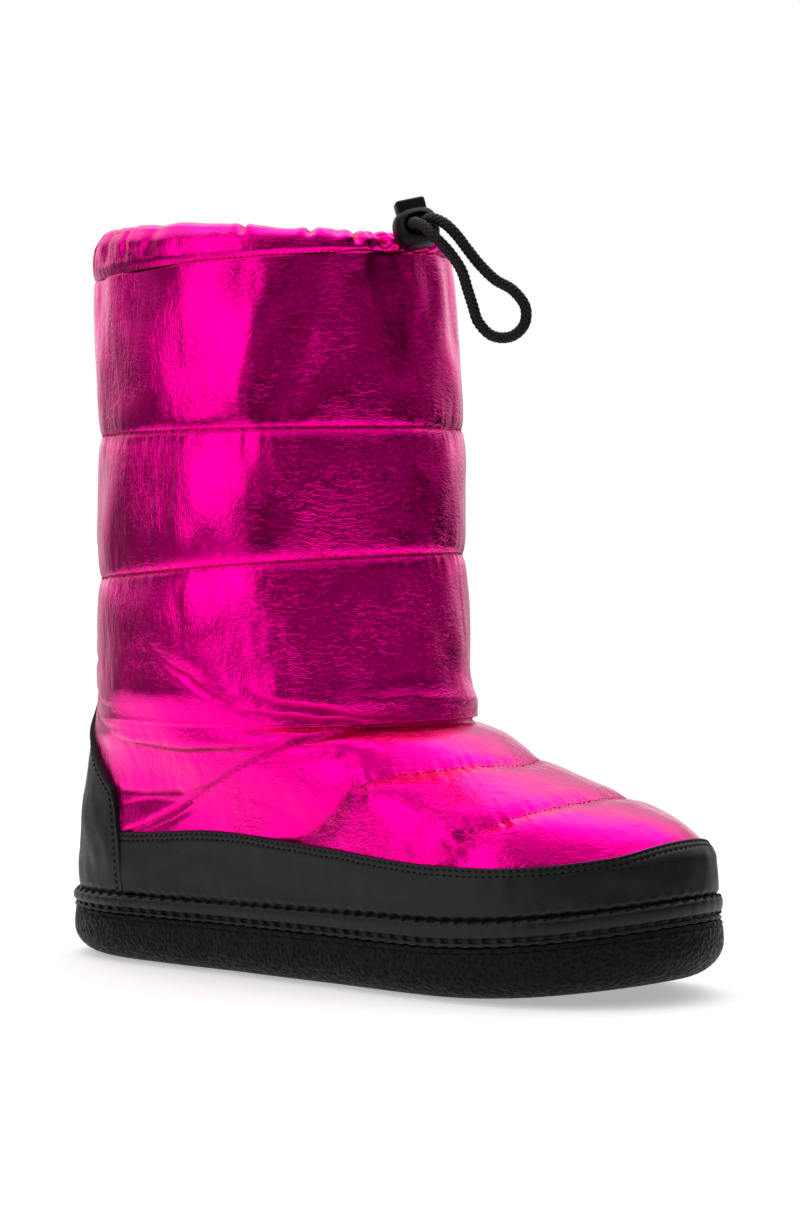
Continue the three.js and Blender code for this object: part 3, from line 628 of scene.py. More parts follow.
# Each padded row swells between its seams, and the shaft's lowest roll hangs over the throat in front.
puff = np.zeros(len(cloth_turn))
for lower, upper in zip(QUILT_SEAMS[:-1], QUILT_SEAMS[1:]):
    low, high = seam_height(lower, cloth_turn), seam_height(upper, cloth_turn)
    share = (cloth_height - low) / (high - low)
    inside = (share > 0) & (share <= 1)
    if lower is QUILT_SEAMS[0]:
        share, inside = np.maximum(share, 0.5), share <= 1
    puff[inside] += (QUILT_PUFF * (1 - np.abs(2 * share - 1) ** 2.8))[inside]
puff *= np.clip((cloth_height - 60) / 40, 0.2, 1)
above_throat = (cloth_height - THROAT_HEIGHT - THROAT_ROLL) / (2 * THROAT_ROLL)
roll = THROAT_ROLL * along_of(cloth_turn) ** 2 * np.exp(-(above_throat**2))
puff += roll * (cloth_height > THROAT_HEIGHT - 1)
# The padding bulges over the counter's peak at the back.
puff += 1.1 * dent(cloth_height - 112, 9) * dent(signed(cloth_turn), 0.75)

# The seam at the throat, with the shaft's puffed edge above it and the foot's below.
throat_line = both_sides(THROAT_SEAM)
shaft_side = cloth_height > read(throat_line, cloth_turn)[:, 0]
away, _ = nearest(smooth_cloth, laid(throat_line)[1], 30)
low_down = np.clip((2.1 - np.minimum(cloth_turn, FULL_TURN - cloth_turn)) / 0.5, 0, 1)
foot_side = 0.5 - 0.9 * dent(away, 3.0) + 0.7 * low_down * dent(away - 1.0, 1.1)
puff += np.where(shaft_side, 0.8 * dent(away, 7), foot_side)
puff -= 0.9 * np.exp(-away / 0.9)
# Painted shade: the foil's colour darkens along the throat seam's groove, less of it low on the sides.
groove_shade = np.exp(-away / 0.8) * (1 - 0.5 * low_down)

# Seams pull the padding in and pucker the foil on both sides of them.
all_round = np.linspace(0, FULL_TURN, 60)
shaft_lines = [[(t, seam_height(seam, t)) for t in all_round] for seam in QUILT_SEAMS[1:3]]
for line, pull, width, sharp, pucker in (
    (both_sides(FIRST_SEAM), 1.3, 5, 0.8, 0.22), (both_sides(SECOND_SEAM), 1.3, 5, 0.8, 0.22),
    (shaft_lines[0], 0.15, 3.0, 0.85, 0.13), (shaft_lines[1], 0.15, 3.0, 0.85, 0.13),
):
    _, path, run = laid(line)
    away, which = nearest(smooth_cloth, path, 30)
    pleat = np.sin(run[which] * FULL_TURN / 6.5 + 2.2 * unevenness(path, 22, 5)[which])
    pleat += 0.8 * np.sin(run[which] * FULL_TURN / 3.7 + 2.0 * unevenness(path, 15, 6)[which])
    puff += -pull * dent(away, width) - sharp * np.exp(-away / 0.9) + pucker * pleat * np.exp(-away / 4.5)
    # Painted shade along the seam's groove.
    groove_shade = np.maximum(groove_shade, 0.8 * np.exp(-away / 0.5))


def side_of(points, path, which, out_from):
    """How far points lie to the upper or left side of a path that runs over the skin."""
    run = np.gradient(path, axis=0)
    side = np.cross(out_from - path, run)
    side /= np.linalg.norm(side, axis=1)[:, None]
    return ((points - path[which]) * side[which]).sum(-1)


FOLD_BREADTH = 3.0
for number, (line, depth, narrow, step) in enumerate(FOLDS):
    fine, path, run = laid(line)
    path = path + unevenness(path, 16, 40 + number)[:, None] * 0.35
    away, which = nearest(smooth_cloth, path, 30)
    side = side_of(smooth_cloth, path, which, skin(fine[:, 0], fine[:, 1], 1))
    fade = np.sin(np.pi * np.clip((run[which] + 0.02) / run[-1], 0, 1)) ** 0.7
    fade = fade * (away < 29)
    broad = side / FOLD_BREADTH * dent(away, FOLD_BREADTH) * 2.3
    puff += fade * (-depth * np.exp(-away / narrow) * 0.85 + 0.45 * step * broad)
    # Painted shade in the fold's crease.
    groove_shade = np.maximum(groove_shade, fade * dent(away, narrow * 0.75) * min(1, depth / 1.2))
for line, depth, width in HOLLOWS:
    _, path, run = laid(line)
    away, which = nearest(smooth_cloth, path, 34)
    fade = np.sin(np.pi * np.clip(run[which] / run[-1] * 0.9 + 0.1, 0, 1)) ** 0.6
    puff += fade * (-depth * dent(away, width) + 0.3 * depth * dent(away - 2.2 * width, width))

soft = np.clip((cloth_height - 30) / 20, 0, 1)
calmer = np.interp(cloth_height, [80, 110], [0.45, 1])
lumps = 0.45 * unevenness(smooth_cloth, 46, 1) + 0.16 * unevenness(smooth_cloth, 17, 2, (1, 1, 0.5))
puff += soft * calmer * lumps
puff += soft * 0.05 * unevenness(smooth_cloth, 7, 3, (1, 1, 0.5))
puff = np.minimum(puff, np.interp(cloth_height, [37, 46], [0, 4]))
puff[-SHELL_COLUMNS:] = -2.0

foil = material("foil_cloth", {"Metallic": 1.0})
upright = foil.noise(1.8, (1, 1, 0.35), detail=3.0, twist=1.3)
level = foil.noise(1.8, (0.45, 0.45, 1.2), detail=3.0, twist=1.3)
over_skin = foil.node("SeparateXYZ", {}, {0: foil.place()})
in_front = foil.ramp(over_skin * 6 + foil.noise(40, detail=1.0), (0.08, 0.0), (0.40, 1.0))
crackle = foil.mix(in_front, upright, level)
calm = foil.ramp(foil.noise(24, detail=2.0), (0.36, 0.25), (0.66, 1.0))
specks = foil.noise(0.6, detail=2.0)
# Painted shade: where this mark is high, the foil's colour goes over to a dark crimson, in the seams'
# grooves, the folds' creases and the pleats' hollows.
trough = foil.node("Attribute", {"attribute_name": "trough"}, out="Fac")
tint = foil.mix(foil.noise(24, detail=2.0), FOIL_PINK, FOIL_DEEP)
foil_pink = foil.feed(
    Base_Color=foil.mix(trough * 0.9, tint, (0.26, 0.0, 0.03, 1)),
    Roughness=foil.ramp(foil.noise(9, detail=3.0), (0.35, 0.17), (0.7, 0.25)) + trough * 0.3,
    Normal=foil.bump(specks, 0.035, foil.bump(foil.mix(calm, (0.5, 0.5, 0.5, 1), crackle), 0.42)),
)
cloth = skin(cloth_turn, cloth_height, puff)
shell = shape("quilted_shell", cloth, woven(len(cloth_rows), SHELL_COLUMNS), [foil_pink])
mark(shell, "trough", groove_shade)
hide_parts("upper")

# The lining: thick black plush that is knitted with a short pile. It covers the inside of the shell, from
# the insole up to the casing, and is sewn in at the rim.
lining_rows = between(SEAT, THROAT_HEIGHT, 24, 0) + between(THROAT_HEIGHT, quilt_lines[3], 52, 0)
lining_turn, lining_height = spread(lining_rows + [quilt_lines[3] + 0.4])
smooth_lining = skin(lining_turn, lining_height, -WALL)
plush_out = 0.4 * unevenness(smooth_lining, 26, 9) + 0.22 * unevenness(smooth_lining, 9, 10)
plush_out += 0.12 * unevenness(smooth_lining, 5, 11)
plush = material("plush_lining", {"Roughness": 0.95, "Sheen Weight": 0.5, "Sheen Roughness": 0.5})
tufts = plush.noise(1.6, detail=3.0, twist=1.2)
clumps = plush.noise(7, detail=2.0, twist=0.6)
plush_black = plush.feed(
    Base_Color=plush.mix(plush.ramp(tufts * 0.6 + clumps * 0.5, (0.42, 0.0), (0.68, 1.0)),
                         (0.008, 0.0075, 0.008, 1), (0.035, 0.033, 0.035, 1)),
    Normal=plush.bump(clumps, 1.2, plush.bump(tufts, 1.0)),
)
lining = shape("plush_lining", skin(lining_turn, lining_height, -WALL + plush_out),
               woven(len(lining_rows) + 1, SHELL_COLUMNS)[:, ::-1], [plush_black])

# The seams' crimson thread: twisted polyester, in one row of short stitches along each seam of the foil.
# Each stitch lies in the fold that it pulls in, and both its ends go down into the padding.
THREAD_CRIMSON, CRIMSON_SHADE = (0.62, 0.002, 0.06, 1), (0.42, 0.001, 0.035, 1)


def stitches(name, rows, finish):
    """Rows of stitches on a piece: the piece, a path, pitch, length, thickness and how deep each sits."""
    points, faces, sides = [], [], 6
    swell_of = np.array([0.45, 0.9, 1.0, 0.9, 0.45])
    shares = np.array([0, 0.2, 0.5, 0.8, 1])
    for carrier, path, pitch, length, thickness, sunk in rows:
        run = run_along(path)
        for start in np.arange(0, run[-1] - length, pitch):
            line = []
            for along in start + length * shares:
                spot = Vector([np.interp(along, run, path[:, k]) for k in range(3)]) / 1000
                _, spot, out, _ = carrier.closest_point_on_mesh(spot)
                line.append((np.array(spot) * 1000, np.array(out)))
            spots = np.array([spot for spot, _ in line])
            out = line[2][1]
            dip = np.array([-0.8, -0.1, 0.15, -0.1, -0.8]) * thickness / 2 - sunk
            spots = spots[[0, 0, 0, 0, 0]] + (spots[4] - spots[0]) * shares[:, None]
            spots += (line[2][0] - spots[2]) + out * dip[:, None]
            forward = spots[4] - spots[0]
            forward /= np.linalg.norm(forward)
            side = np.cross(forward, out)
            side /= np.linalg.norm(side)
            out = np.cross(side, forward)
            turn = turns(sides)[None, :, None]
            ring = np.cos(turn) * out + np.sin(turn) * side
            base = len(points) * 5 * sides
            points.append((spots[:, None] + ring * (swell_of * thickness / 2)[:, None, None]).reshape(-1, 3))
            faces += (woven(5, sides) + base).tolist()
            last = base + 4 * sides
            faces += [range(base + sides - 1, base - 1, -1), range(last, last + sides)]
    return shape(name, np.concatenate(points), faces, [finish])


crimson = material("crimson_thread", {"Roughness": 0.55, "Specular IOR Level": 0.2})
ply = crimson.noise(0.35, (1, 1, 2.5))
crimson_thread = crimson.feed(
    Base_Color=crimson.mix(crimson.ramp(ply, (0.35, 0.0), (0.65, 1.0)), CRIMSON_SHADE, THREAD_CRIMSON),
    Normal=crimson.bump(ply, 0.12),
)
foil_rows = [(shell, laid(line)[1], 2.3, 1.75, 0.55, 0.0) for line in shaft_lines]
foil_rows += [(shell, laid(both_sides(line))[1], 2.1, 1.5, 0.5, 0.05) for line in (FIRST_SEAM, SECOND_SEAM)]
crimson_stitches = stitches("foil_stitches", foil_rows, crimson_thread)

# The insole: a loose padded sole, cut from foam and covered with the same plush as the lining. It is laid
# on the shell's floor with a little room all round.
INSOLE_THICKNESS, INSOLE_COLUMNS = 4, 200
insole_edge = [
    skin(turns(INSOLE_COLUMNS), SEAT + rise, -WALL - GAP - inset)
    for rise, inset in ((0, 1.2), (0.5, 0.3), (1.6, 0), (2.8, 0.2), (3.6, 1.0), (INSOLE_THICKNESS, 2.6))
]
insole_under = flat_faces(insole_edge[0], SEAT, (0.0, 0.5, 0.9))
insole_shares = (0.93, 0.85, 0.72, 0.56, 0.4, 0.24, 0.1, 0.0)
insole_top = flat_faces(insole_edge[-1], SEAT + INSOLE_THICKNESS, insole_shares)
for row, share in zip(insole_top, insole_shares):
    row[:, 2] += (1 - share) * (0.4 + 0.5 * unevenness(row, 24, 31))
insole_rows = insole_under + insole_edge + insole_top
insole_faces = woven(len(insole_rows), INSOLE_COLUMNS)
insole = shape("padded_insole", np.concatenate(insole_rows), insole_faces, [plush_black])
sewn(insole)
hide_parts("insole")

# The stitched strip: a rolled bead of the smooth cover's material over the joint between shell and sole,
# sewn through by two rows of coarse stitches that pull it into small scallops.
STRIP_HEEL_HEIGHT, STRIP_TOE_HEIGHT, STRIP_INSET = 6, 9, 0.6
COARSE_PITCH, STRIP_COLUMNS, LOWER_ROW, COUNTED_AT, COVER_GAP = 5.7, 720, 0.24, 22, 0.2
COUNTER_SPREAD, COUNTER_SHOULDER, COUNTER_LEAN = 7 * FULL_TURN / 56, 66, 0.06
COVER_BLACK, COVER_WORN = (0.0012, 0.0012, 0.0015, 1), (0.0035, 0.0036, 0.0043, 1)


def strip_top(turn):
    rise = STRIP_TOE_HEIGHT - STRIP_HEEL_HEIGHT
    return SEAT + STRIP_HEEL_HEIGHT + rise * np.minimum(1, 1.6 * along_of(turn))


def from_heel(turn):
    """How far round from the heel's middle, on either side, as a share of the counter's spread."""
    return np.abs(signed(turn)) / COUNTER_SPREAD


def strip_reach(turn, height):
    """How far the strip stands out from the skin, to end just inside the sole's edge."""
    x, y = footprint(turn)
    flat = skin(turn, height)
    return np.hypot(x - flat[..., 0], y - flat[..., 1]) - SOLE_BULGE - STRIP_INSET


def leaning(turn, height):
    """The counter's front edges lean forward towards the sole, and the rand's ends with them."""
    share = from_heel(turn)
    weight = np.where(share < 1, share**2, np.maximum(0, 1 - (share - 1) / 0.7))
    down = np.maximum(0, (COUNTER_SHOULDER - height) / (COUNTER_SHOULDER - SEAT))
    side = np.where((turn % FULL_TURN) < np.pi, 1, -1)
    return turn + side * COUNTER_LEAN * down * weight


strip_turns = turns(STRIP_COLUMNS)
strip_ring = skin(strip_turns, COUNTED_AT, 2)
strip_run = run_along(strip_ring)
strip_length = strip_run[-1] + np.linalg.norm(strip_ring[0] - strip_ring[-1])
coarse = strip_length / round(strip_length / COARSE_PITCH)


def from_hole(run):
    """How far along each place is from the nearest hole of the coarse stitches."""
    return ((run / coarse + 0.5) % 1 - 0.5) * coarse


holes, scallop = dent(from_hole(strip_run), 0.95), 1 - dent(from_hole(strip_run), 1.5)
# Over the counter the strip stands out further, up to a small ridge at the counter's front edge.
RUN_PER_TURN, EDGE_BACK = 120, 6.0
edge_at = (from_heel(strip_turns) - 1) * COUNTER_SPREAD * RUN_PER_TURN - EDGE_BACK
over = 1 / (1 + np.exp(np.clip(edge_at * 3, -40, 40)))
tall = strip_top(strip_turns) - SEAT
strip_points = []
for share, inset in [(0, 3.5), (0, 1.6)] + [(s, 0) for s in np.linspace(0, 1, 24)] + [(1, 1.3), (0.97, 2.6)]:
    height = SEAT - 0.2 + (tall + 0.35) * share
    out = strip_reach(strip_turns, height) - inset
    if inset == 0:
        from_low, from_high = (share - LOWER_ROW) * tall, (1 - share) * tall
        out = out + 0.15 - 0.75 * dent(from_low, 0.75) - 0.7 * holes * dent(from_low, 1.0)
        out = out - 0.9 * dent(from_high, 0.9) - 0.7 * holes * dent(from_high, 1.2)
        bead = max(0.0, (share - LOWER_ROW) / (1 - LOWER_ROW))
        out = out + 0.75 * math.sin(math.pi * bead) ** 0.7 * (0.8 + 0.2 * scallop)
        band = max(0.0, 1 - share / LOWER_ROW)
        out = out + 0.5 * band * scallop - 0.6 * (share == 0)
        edge_ridge = dent(edge_at + 0.9, 0.9)
        out = out + 0.7 * over + 0.5 * edge_ridge - 0.35 * dent(edge_at + 3.0, 0.8)
        height = height - 0.45 * band * scallop + 0.3 * band
    strip_points.append(skin(strip_turns, height, out))

cover = material("smooth_cover", {"Specular IOR Level": 0.27})
grain = cover.cells(1500, 0.5)
handled = cover.noise(26, detail=4.0, twist=0.4)
scuffs = cover.noise(3.0, (1, 1, 2.6), detail=4.0)
worn = cover.ramp(handled * 0.7 + scuffs * 0.3, (0.4, 0.0), (0.66, 1.0))
cover_black = cover.feed(
    Base_Color=cover.mix(worn, COVER_BLACK, COVER_WORN),
    Roughness=cover.ramp(handled * 0.5 + scuffs * 0.5, (0.35, 0.36), (0.65, 0.5)),
    Normal=cover.bump(grain, 0.05, cover.bump(cover.noise(14, detail=2.0), 0.35)),
)
strip_faces = woven(len(strip_points), STRIP_COLUMNS)
strip = shape("stitched_strip_dressed", np.concatenate(strip_points), strip_faces, [cover_black])
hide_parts("stitched_strip")

# The rand: one long strip of smooth coated cover round the foot's sides and toe, folded over at its upper
# edge and held there by two fine rows of stitching. Its ends run under the counter's front edges.
RAND_THICKNESS, RAND_HEIGHT, RAND_COLUMNS = 2, 52, 620
RAND_EDGE = [
    (0, 0.94), (0.18, 0.97), (0.35, 1.03), (0.55, 0.98), (0.72, 0.92), (0.86, 0.9), (0.95, 0.92), (1, 0.99),
]
EDGE_ROWS = (1.35, 3.2)


def rand_top(turn):
    return RAND_HEIGHT * read(RAND_EDGE, along_of(turn))[..., 0]


rand_start = COUNTER_SPREAD + 2 * GAP / HALF_SOLE
rand_turns = np.linspace(rand_start - 0.02, FULL_TURN - rand_start + 0.02, RAND_COLUMNS)
rand_run = np.interp(rand_turns, strip_turns, strip_run)
scallops = 1 - dent(from_hole(rand_run), 1.5)
tops, lows = rand_top(rand_turns), strip_top(rand_turns) + COVER_GAP
# The rows lie close together in the folded edge, and from there are spread evenly down to the strip.
FOLDED = 6.0
below = np.array([0.0, 0.12, 0.35, 0.7, 1.0, 1.35, 1.7, 2.1, 2.5, 2.85, 3.2, 3.55, 4.0, 4.8, FOLDED])
rand_points = [skin(leaning(rand_turns, tops - 0.4), tops - 0.4, 0.1)]
for drop in np.concatenate([below, FOLDED + np.linspace(0, 1, 26)[1:]]):
    if drop <= FOLDED:
        height, down = tops - drop, drop
    else:
        height = tops - FOLDED - (drop - FOLDED) * (tops - FOLDED - lows)
        down = tops - height
    rounded = 1.25 * np.maximum(0, 1 - down / 0.7) ** 2
    out = RAND_THICKNESS + 0.25 * dent(down - 0.6, 0.8) - rounded
    for row in EDGE_ROWS:
        out = out - 0.28 * dent(down - row, 0.38)
    up = height - lows
    out = out - 0.8 * dent(up, 0.9) - 0.8 * (1 - scallops) * dent(up, 1.3)
    out = out + 0.2 * scallops * dent(up - 1.8, 1.4)
    point = skin(rand_turns, height)
    middle = np.clip(up / 6, 0, 1) * np.clip(down / 4, 0, 1)
    out = out + middle * (0.3 * unevenness(point, 34, 50) + 0.12 * unevenness(point, 13, 51))
    # The cover creases a little where the toe bends up.
    toe = np.clip((along_of(rand_turns) - 0.9) / 0.08, 0, 1)
    out = out + middle * toe * 0.1 * unevenness(point, 8, 52, (1, 1, 0.35))
    rand_points.append(skin(leaning(rand_turns, height), height, np.maximum(out, 0.5)))
rand_points.append(skin(leaning(rand_turns, lows), lows - 1.2, 0.6))
rand_faces = woven(len(rand_points), RAND_COLUMNS, False)[:, ::-1]
rand = shape("rand_dressed", np.concatenate(rand_points), rand_faces, [cover_black])
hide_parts("rand")

# The heel counter: a moulded stiffener under the same smooth cover. Its front edges are folded over and
# stitched, and it rises to a rounded peak at the back of the heel.
COUNTER_THICKNESS, COUNTER_HEIGHT, COUNTER_COLUMNS, COUNTER_ROWS = 2.5, 104, 190, 96
COUNTER_EDGE = [(0, 1.0), (0.25, 0.995), (0.45, 0.97), (0.7, 0.83), (0.94, 0.68), (1.0, 0.635)]

counter_u = np.linspace(-1, 1, COUNTER_COLUMNS)
counter_u = np.sign(counter_u) * (1 - (1 - np.abs(counter_u)) ** 1.25)
counter_v = 1 - (1 - np.linspace(0, 1, COUNTER_ROWS)) ** 1.3
share_u, share_v = np.meshgrid(counter_u, counter_v)
counter_turn = share_u * COUNTER_SPREAD
counter_low = strip_top(counter_turn) + COVER_GAP
counter_high = COUNTER_HEIGHT * read(COUNTER_EDGE, np.abs(share_u))[..., 0]
counter_height = counter_low + share_v * (counter_high - counter_low)
counter_turn = leaning(counter_turn, counter_height)
flat = skin(counter_turn, counter_height)
rim_line = np.concatenate([flat[:, 0], flat[-1, :], flat[::-1, -1]])
from_rim = np.minimum.reduce([
    np.linalg.norm(flat - flat[:, :1], axis=-1), np.linalg.norm(flat - flat[:, -1:], axis=-1),
    nearest(flat.reshape(-1, 3), rim_line, 12)[0].reshape(flat.shape[:2]),
])
counter_run = np.interp(counter_turn % FULL_TURN, strip_turns, strip_run)
up = counter_height - counter_low
out = COUNTER_THICKNESS + 0.35 * dent(from_rim - 0.7, 0.8) - 2.2 * np.maximum(0, 1 - from_rim / 0.6) ** 2
out = out - 0.3 * dent(from_rim - 1.9, 0.45) - 0.12 * np.clip((from_rim - 1.9) / 2, 0, 1)
out = out - 0.9 * dent(up, 0.9) - 0.8 * dent(from_hole(counter_run), 1.5) * dent(up, 1.7)
inner_area = np.clip(from_rim / 8, 0, 1) * np.clip(up / 6, 0, 1)
out = out + inner_area * (0.35 * unevenness(flat, 30, 60) + 0.1 * unevenness(flat, 12, 61))
out[from_rim < 0.02] = 0.1
out[0] = COUNTER_THICKNESS - 1.0
counter_faces = woven(COUNTER_ROWS, COUNTER_COLUMNS, False)
counter = shape("heel_counter_dressed", skin(counter_turn, counter_height, out), counter_faces, [cover_black])
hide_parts("heel_counter")

# The black stitching: fine polyester thread along the folded edges of the rand and the counter, and the
# strip's two coarse rows of waxed thread, which go down through the shell into the sole.
THREAD_BLACK = (0.001, 0.001, 0.001, 1)
black = material("black_thread", {"Roughness": 0.7, "Specular IOR Level": 0.1})
lay = black.noise(0.4, (1, 1, 2.5))
black_thread = black.feed(
    Base_Color=black.mix(lay, THREAD_BLACK, (0.003, 0.003, 0.003, 1)), Normal=black.bump(lay, 0.1),
)
fine_rows = []
line_turn = np.linspace(rand_start + 0.01, FULL_TURN - rand_start - 0.01, 700)
for row in EDGE_ROWS:
    line_height = rand_top(line_turn) - row
    line = skin(leaning(line_turn, line_height), line_height, RAND_THICKNESS)
    fine_rows.append((rand, line, 2.6, 1.75, 0.85, 0.05))
inset_u = np.concatenate([np.full(90, -1.0), np.linspace(-1, 1, 240), np.full(90, 1.0)])
inset_v = np.concatenate([np.linspace(0, 1, 90), np.ones(240), np.linspace(1, 0, 90)])
edge_turn = inset_u * (COUNTER_SPREAD - 0.034)
edge_top = COUNTER_HEIGHT * read(COUNTER_EDGE, np.abs(inset_u))[..., 0] - 2.0
edge_low = strip_top(edge_turn) + 1.0
edge_height = edge_low + inset_v * (edge_top - edge_low)
edge_line = skin(leaning(edge_turn, edge_height), edge_height, COUNTER_THICKNESS)
fine_rows.append((counter, edge_line, 2.6, 1.75, 0.8, 0.05))
fine_stitches = stitches("cover_stitches", fine_rows, black_thread)
coarse_rows = []
for share, deep in ((1, 0.35), (LOWER_ROW, 0.2)):
    height = SEAT + share * tall
    line = skin(strip_turns, height, strip_reach(strip_turns, height))
    line = np.concatenate([line[-1:], line, line[:1]])
    coarse_rows.append((strip, line, coarse, 2.3, 1.7, deep))
coarse_stitches = stitches("coarse_stitches", coarse_rows, black_thread)

# The collar's casing: a tube of the same foil, sewn on all round the shaft and gathered by the cord that
# runs inside it, so that it is pinched into pleats, most of all next to the lock.
CASING_HEIGHT, CASING_PUFF, CASING_GATHER, RIM_DIP = 16, 2.2, 3.6, 5
BOOT_HEIGHT = THROAT_HEIGHT + SHAFT_RISE + CASING_HEIGHT
# Each row's height, puff, gather and wall as shares, up the outside, over the rim and down the inside.
CASING_PROFILE = [
    (0, 0.0, 0.0, 0.0, 0.0), (1, 0.25, 0.9, 0.1, 0.0), (2, 0.6, 1.0, 0.45, 0.0), (3, 0.9, 0.5, 0.9, 0.1),
    (4, 1.0, 0.0, 1.0, 0.5), (5, 0.88, -0.4, 1.0, 0.95), (6, 0.6, -0.4, 0.7, 1.0), (7, 0.0, 0.0, 0.0, 1.0),
]
# The pleats: turn, depth at the rim, half width in millimetres, and how far down they reach.
PLEATS = [
    (0.16, 1.0, 2.8, 0.6), (0.52, 1.4, 2.0, 0.7), (0.80, 1.3, 1.4, 0.9), (0.98, 0.8, 2.2, 0.8),
    (1.2, 1.0, 1.4, 0.8), (1.45, 0.6, 2.6, 0.8), (1.985, 2.4, 1.1, 0.42), (2.385, 2.6, 1.3, 0.45),
    (2.55, 0.8, 1.6, 0.5), (2.66, 2.2, 1.5, 0.7), (2.73, 1.1, 1.0, 1.0), (2.80, 2.0, 1.5, 0.9),
    (2.90, 2.4, 1.1, 1.0), (2.955, 1.4, 0.9, 0.8), (3.03, 2.2, 1.4, 1.0), (3.10, 1.2, 1.0, 0.7),
    (3.20, 1.8, 1.5, 1.0), (3.33, 1.8, 1.6, 0.9), (3.50, 1.5, 2.0, 0.8), (3.74, 1.6, 2.4, 0.7),
    (4.02, 1.3, 2.4, 0.7), (4.33, 1.8, 2.2, 0.8), (4.66, 1.2, 2.8, 0.7), (4.97, 1.7, 2.2, 0.8),
    (5.28, 1.3, 2.6, 0.7), (5.60, 1.8, 2.3, 0.8), (5.93, 1.3, 2.5, 0.7),
]
CASING_COLUMNS, CASING_ROWS, RIM_RADIUS, LOCK_TURN = 640, 78, 62, 2.98
casing_turns = turns(CASING_COLUMNS)
rows_at = np.linspace(0, 7, CASING_ROWS)
rows_of = read(CASING_PROFILE, rows_at)
grid_turn, grid_row = np.meshgrid(casing_turns, np.arange(CASING_ROWS))
rise, puffed, gathered, walled = (rows_of[grid_row, k] for k in range(4))
rim_height = BOOT_HEIGHT - RIM_DIP * along_of(grid_turn) ** 3
casing_height = casing_seam(grid_turn) + rise * (rim_height - casing_seam(grid_turn))
casing_out = puffed * CASING_PUFF - gathered * CASING_GATHER - walled * WALL
place_row = rows_at[grid_row]
on_outside = np.clip(1 - (place_row - 4.6) / 1.2, 0.25, 1)
pinch = 0 * grid_turn
for turn, depth, width, down in PLEATS:
    lean = 0.05 * np.sin(turn * 7) * (1 - rise)
    gap = np.abs(signed(grid_turn - turn - lean)) * RIM_RADIUS
    reaching = ease(np.clip((rise - (1 - down)) / 0.35, 0, 1))
    pinch += depth * reaching * (-dent(gap, width) + 0.4 * dent(gap - 2.3 * width, 1.5 * width))
level_skin = skin(grid_turn, casing_height)
crumple = 0.22 * unevenness(level_skin, 12, 70, (1, 1, 0.5))
crumple += 0.05 * unevenness(level_skin, 4.6, 71, (1, 1, 0.4))
near_lock = dent((grid_turn - LOCK_TURN) * RIM_RADIUS, 22)
swelling = np.sin(np.pi * np.clip(place_row / 4.3, 0, 1)) ** 0.7
casing_out = casing_out + on_outside * (pinch + swelling * crumple * (0.7 + 2.5 * near_lock))
# Small gathers stand on the seam itself, and a shallow channel shows where the cord runs.
SEAM_RADIUS, GATHER_PITCH = 66, 4.4
gathers = np.sin(grid_turn * SEAM_RADIUS * FULL_TURN / GATHER_PITCH + 2.5 * unevenness(level_skin, 20, 72))
casing_out += 0.06 * gathers * dent(place_row - 0.5, 0.45)
casing_out -= 0.15 * dent(place_row - 2.7, 0.3) * (1 + near_lock) + 0.6 * dent(place_row - 1, 0.8)
casing_height = casing_height + 0.35 * pinch * dent(place_row - 4, 1.4)
casing_height += 0.35 * unevenness(level_skin, 18, 73) * dent(place_row - 4, 1.2)
casing_points = skin(grid_turn, casing_height, casing_out)
casing_faces = woven(CASING_ROWS, CASING_COLUMNS)
in_plush = (rows_at[casing_faces[:, 0] // CASING_COLUMNS] > 5.2).astype(int)
casing = shape("gathered_casing", casing_points, casing_faces, [foil_pink, plush_black], in_plush)
# Painted shade: the casing's foil is coloured darker in the hollows of the pleats, on its outside.
mark(casing, "trough", np.clip(-pinch * 0.35 * on_outside, 0, 1))
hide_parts("collar_casing")
casing_path = skin(casing_turns, casing_seam(casing_turns) + 0.1, 0.3)
casing_rows = [(casing, np.concatenate([casing_path, casing_path[:1]]), 2.3, 1.75, 0.5, 0.1)]
casing_stitches = stitches("casing_stitches", casing_rows, crimson_thread)

# The drawcord: a round braided cord of black polyester, 4 mm thick. Both its ends come out of the
# casing's front, pass side by side through the lock, and hang as one loop beside the shaft.
CORD_DIAMETER, STRAND_GAP, SOCKET_DEPTH = 4, 0.6, 3
LOCK_LENGTH, LOCK_WIDTH, LOCK_HEIGHT = 15, 16.5, 15
LOCK_PLACE = np.array([26.513, -14.349, 274.2])
LOCK_STAND, LOCK_YAW, LOOP_TURN, SLOT_RISE = 9.2, 0.48, 0.65, 0.4
# The lock's own axes: out along its bore, across it, and up through its button.
LOCK_AXES = np.array([
    (0.7328008750, -0.6507944181, 0.1986693308), (0.6156088307, 0.7584730064, 0.2138795599),
    (-0.2898769483, -0.0344285341, 0.9564444735),
])
# The loop's points from the lock: across the picture, towards the camera and up.
CORD_LOOP = [
    (2.6, 14.5, -0.1), (6.7, 17.5, -4.3), (12.2, 16.8, -10.1), (16.2, 14.7, -16), (18.4, 12.2, -22.4),
    (20.4, 9.9, -28.4), (22.4, 8.9, -34.1), (27.6, 7.7, -39.1), (34.3, 6.7, -39.3), (39, 6.1, -35.1),
    (39.5, 5.8, -28.7), (35, 6.3, -22.6), (28.6, 7.6, -18.9), (22.9, 9.6, -13.6), (18.4, 11.7, -8.2),
    (14.1, 15.5, -3), (10.2, 15.3, 0.7), (6, 12, 2.8),
]


def on_lock(points):
    """Points of the lock's own frame, out along its bore, across and up, set where the lock is."""
    return LOCK_PLACE + np.array(points, float) @ LOCK_AXES


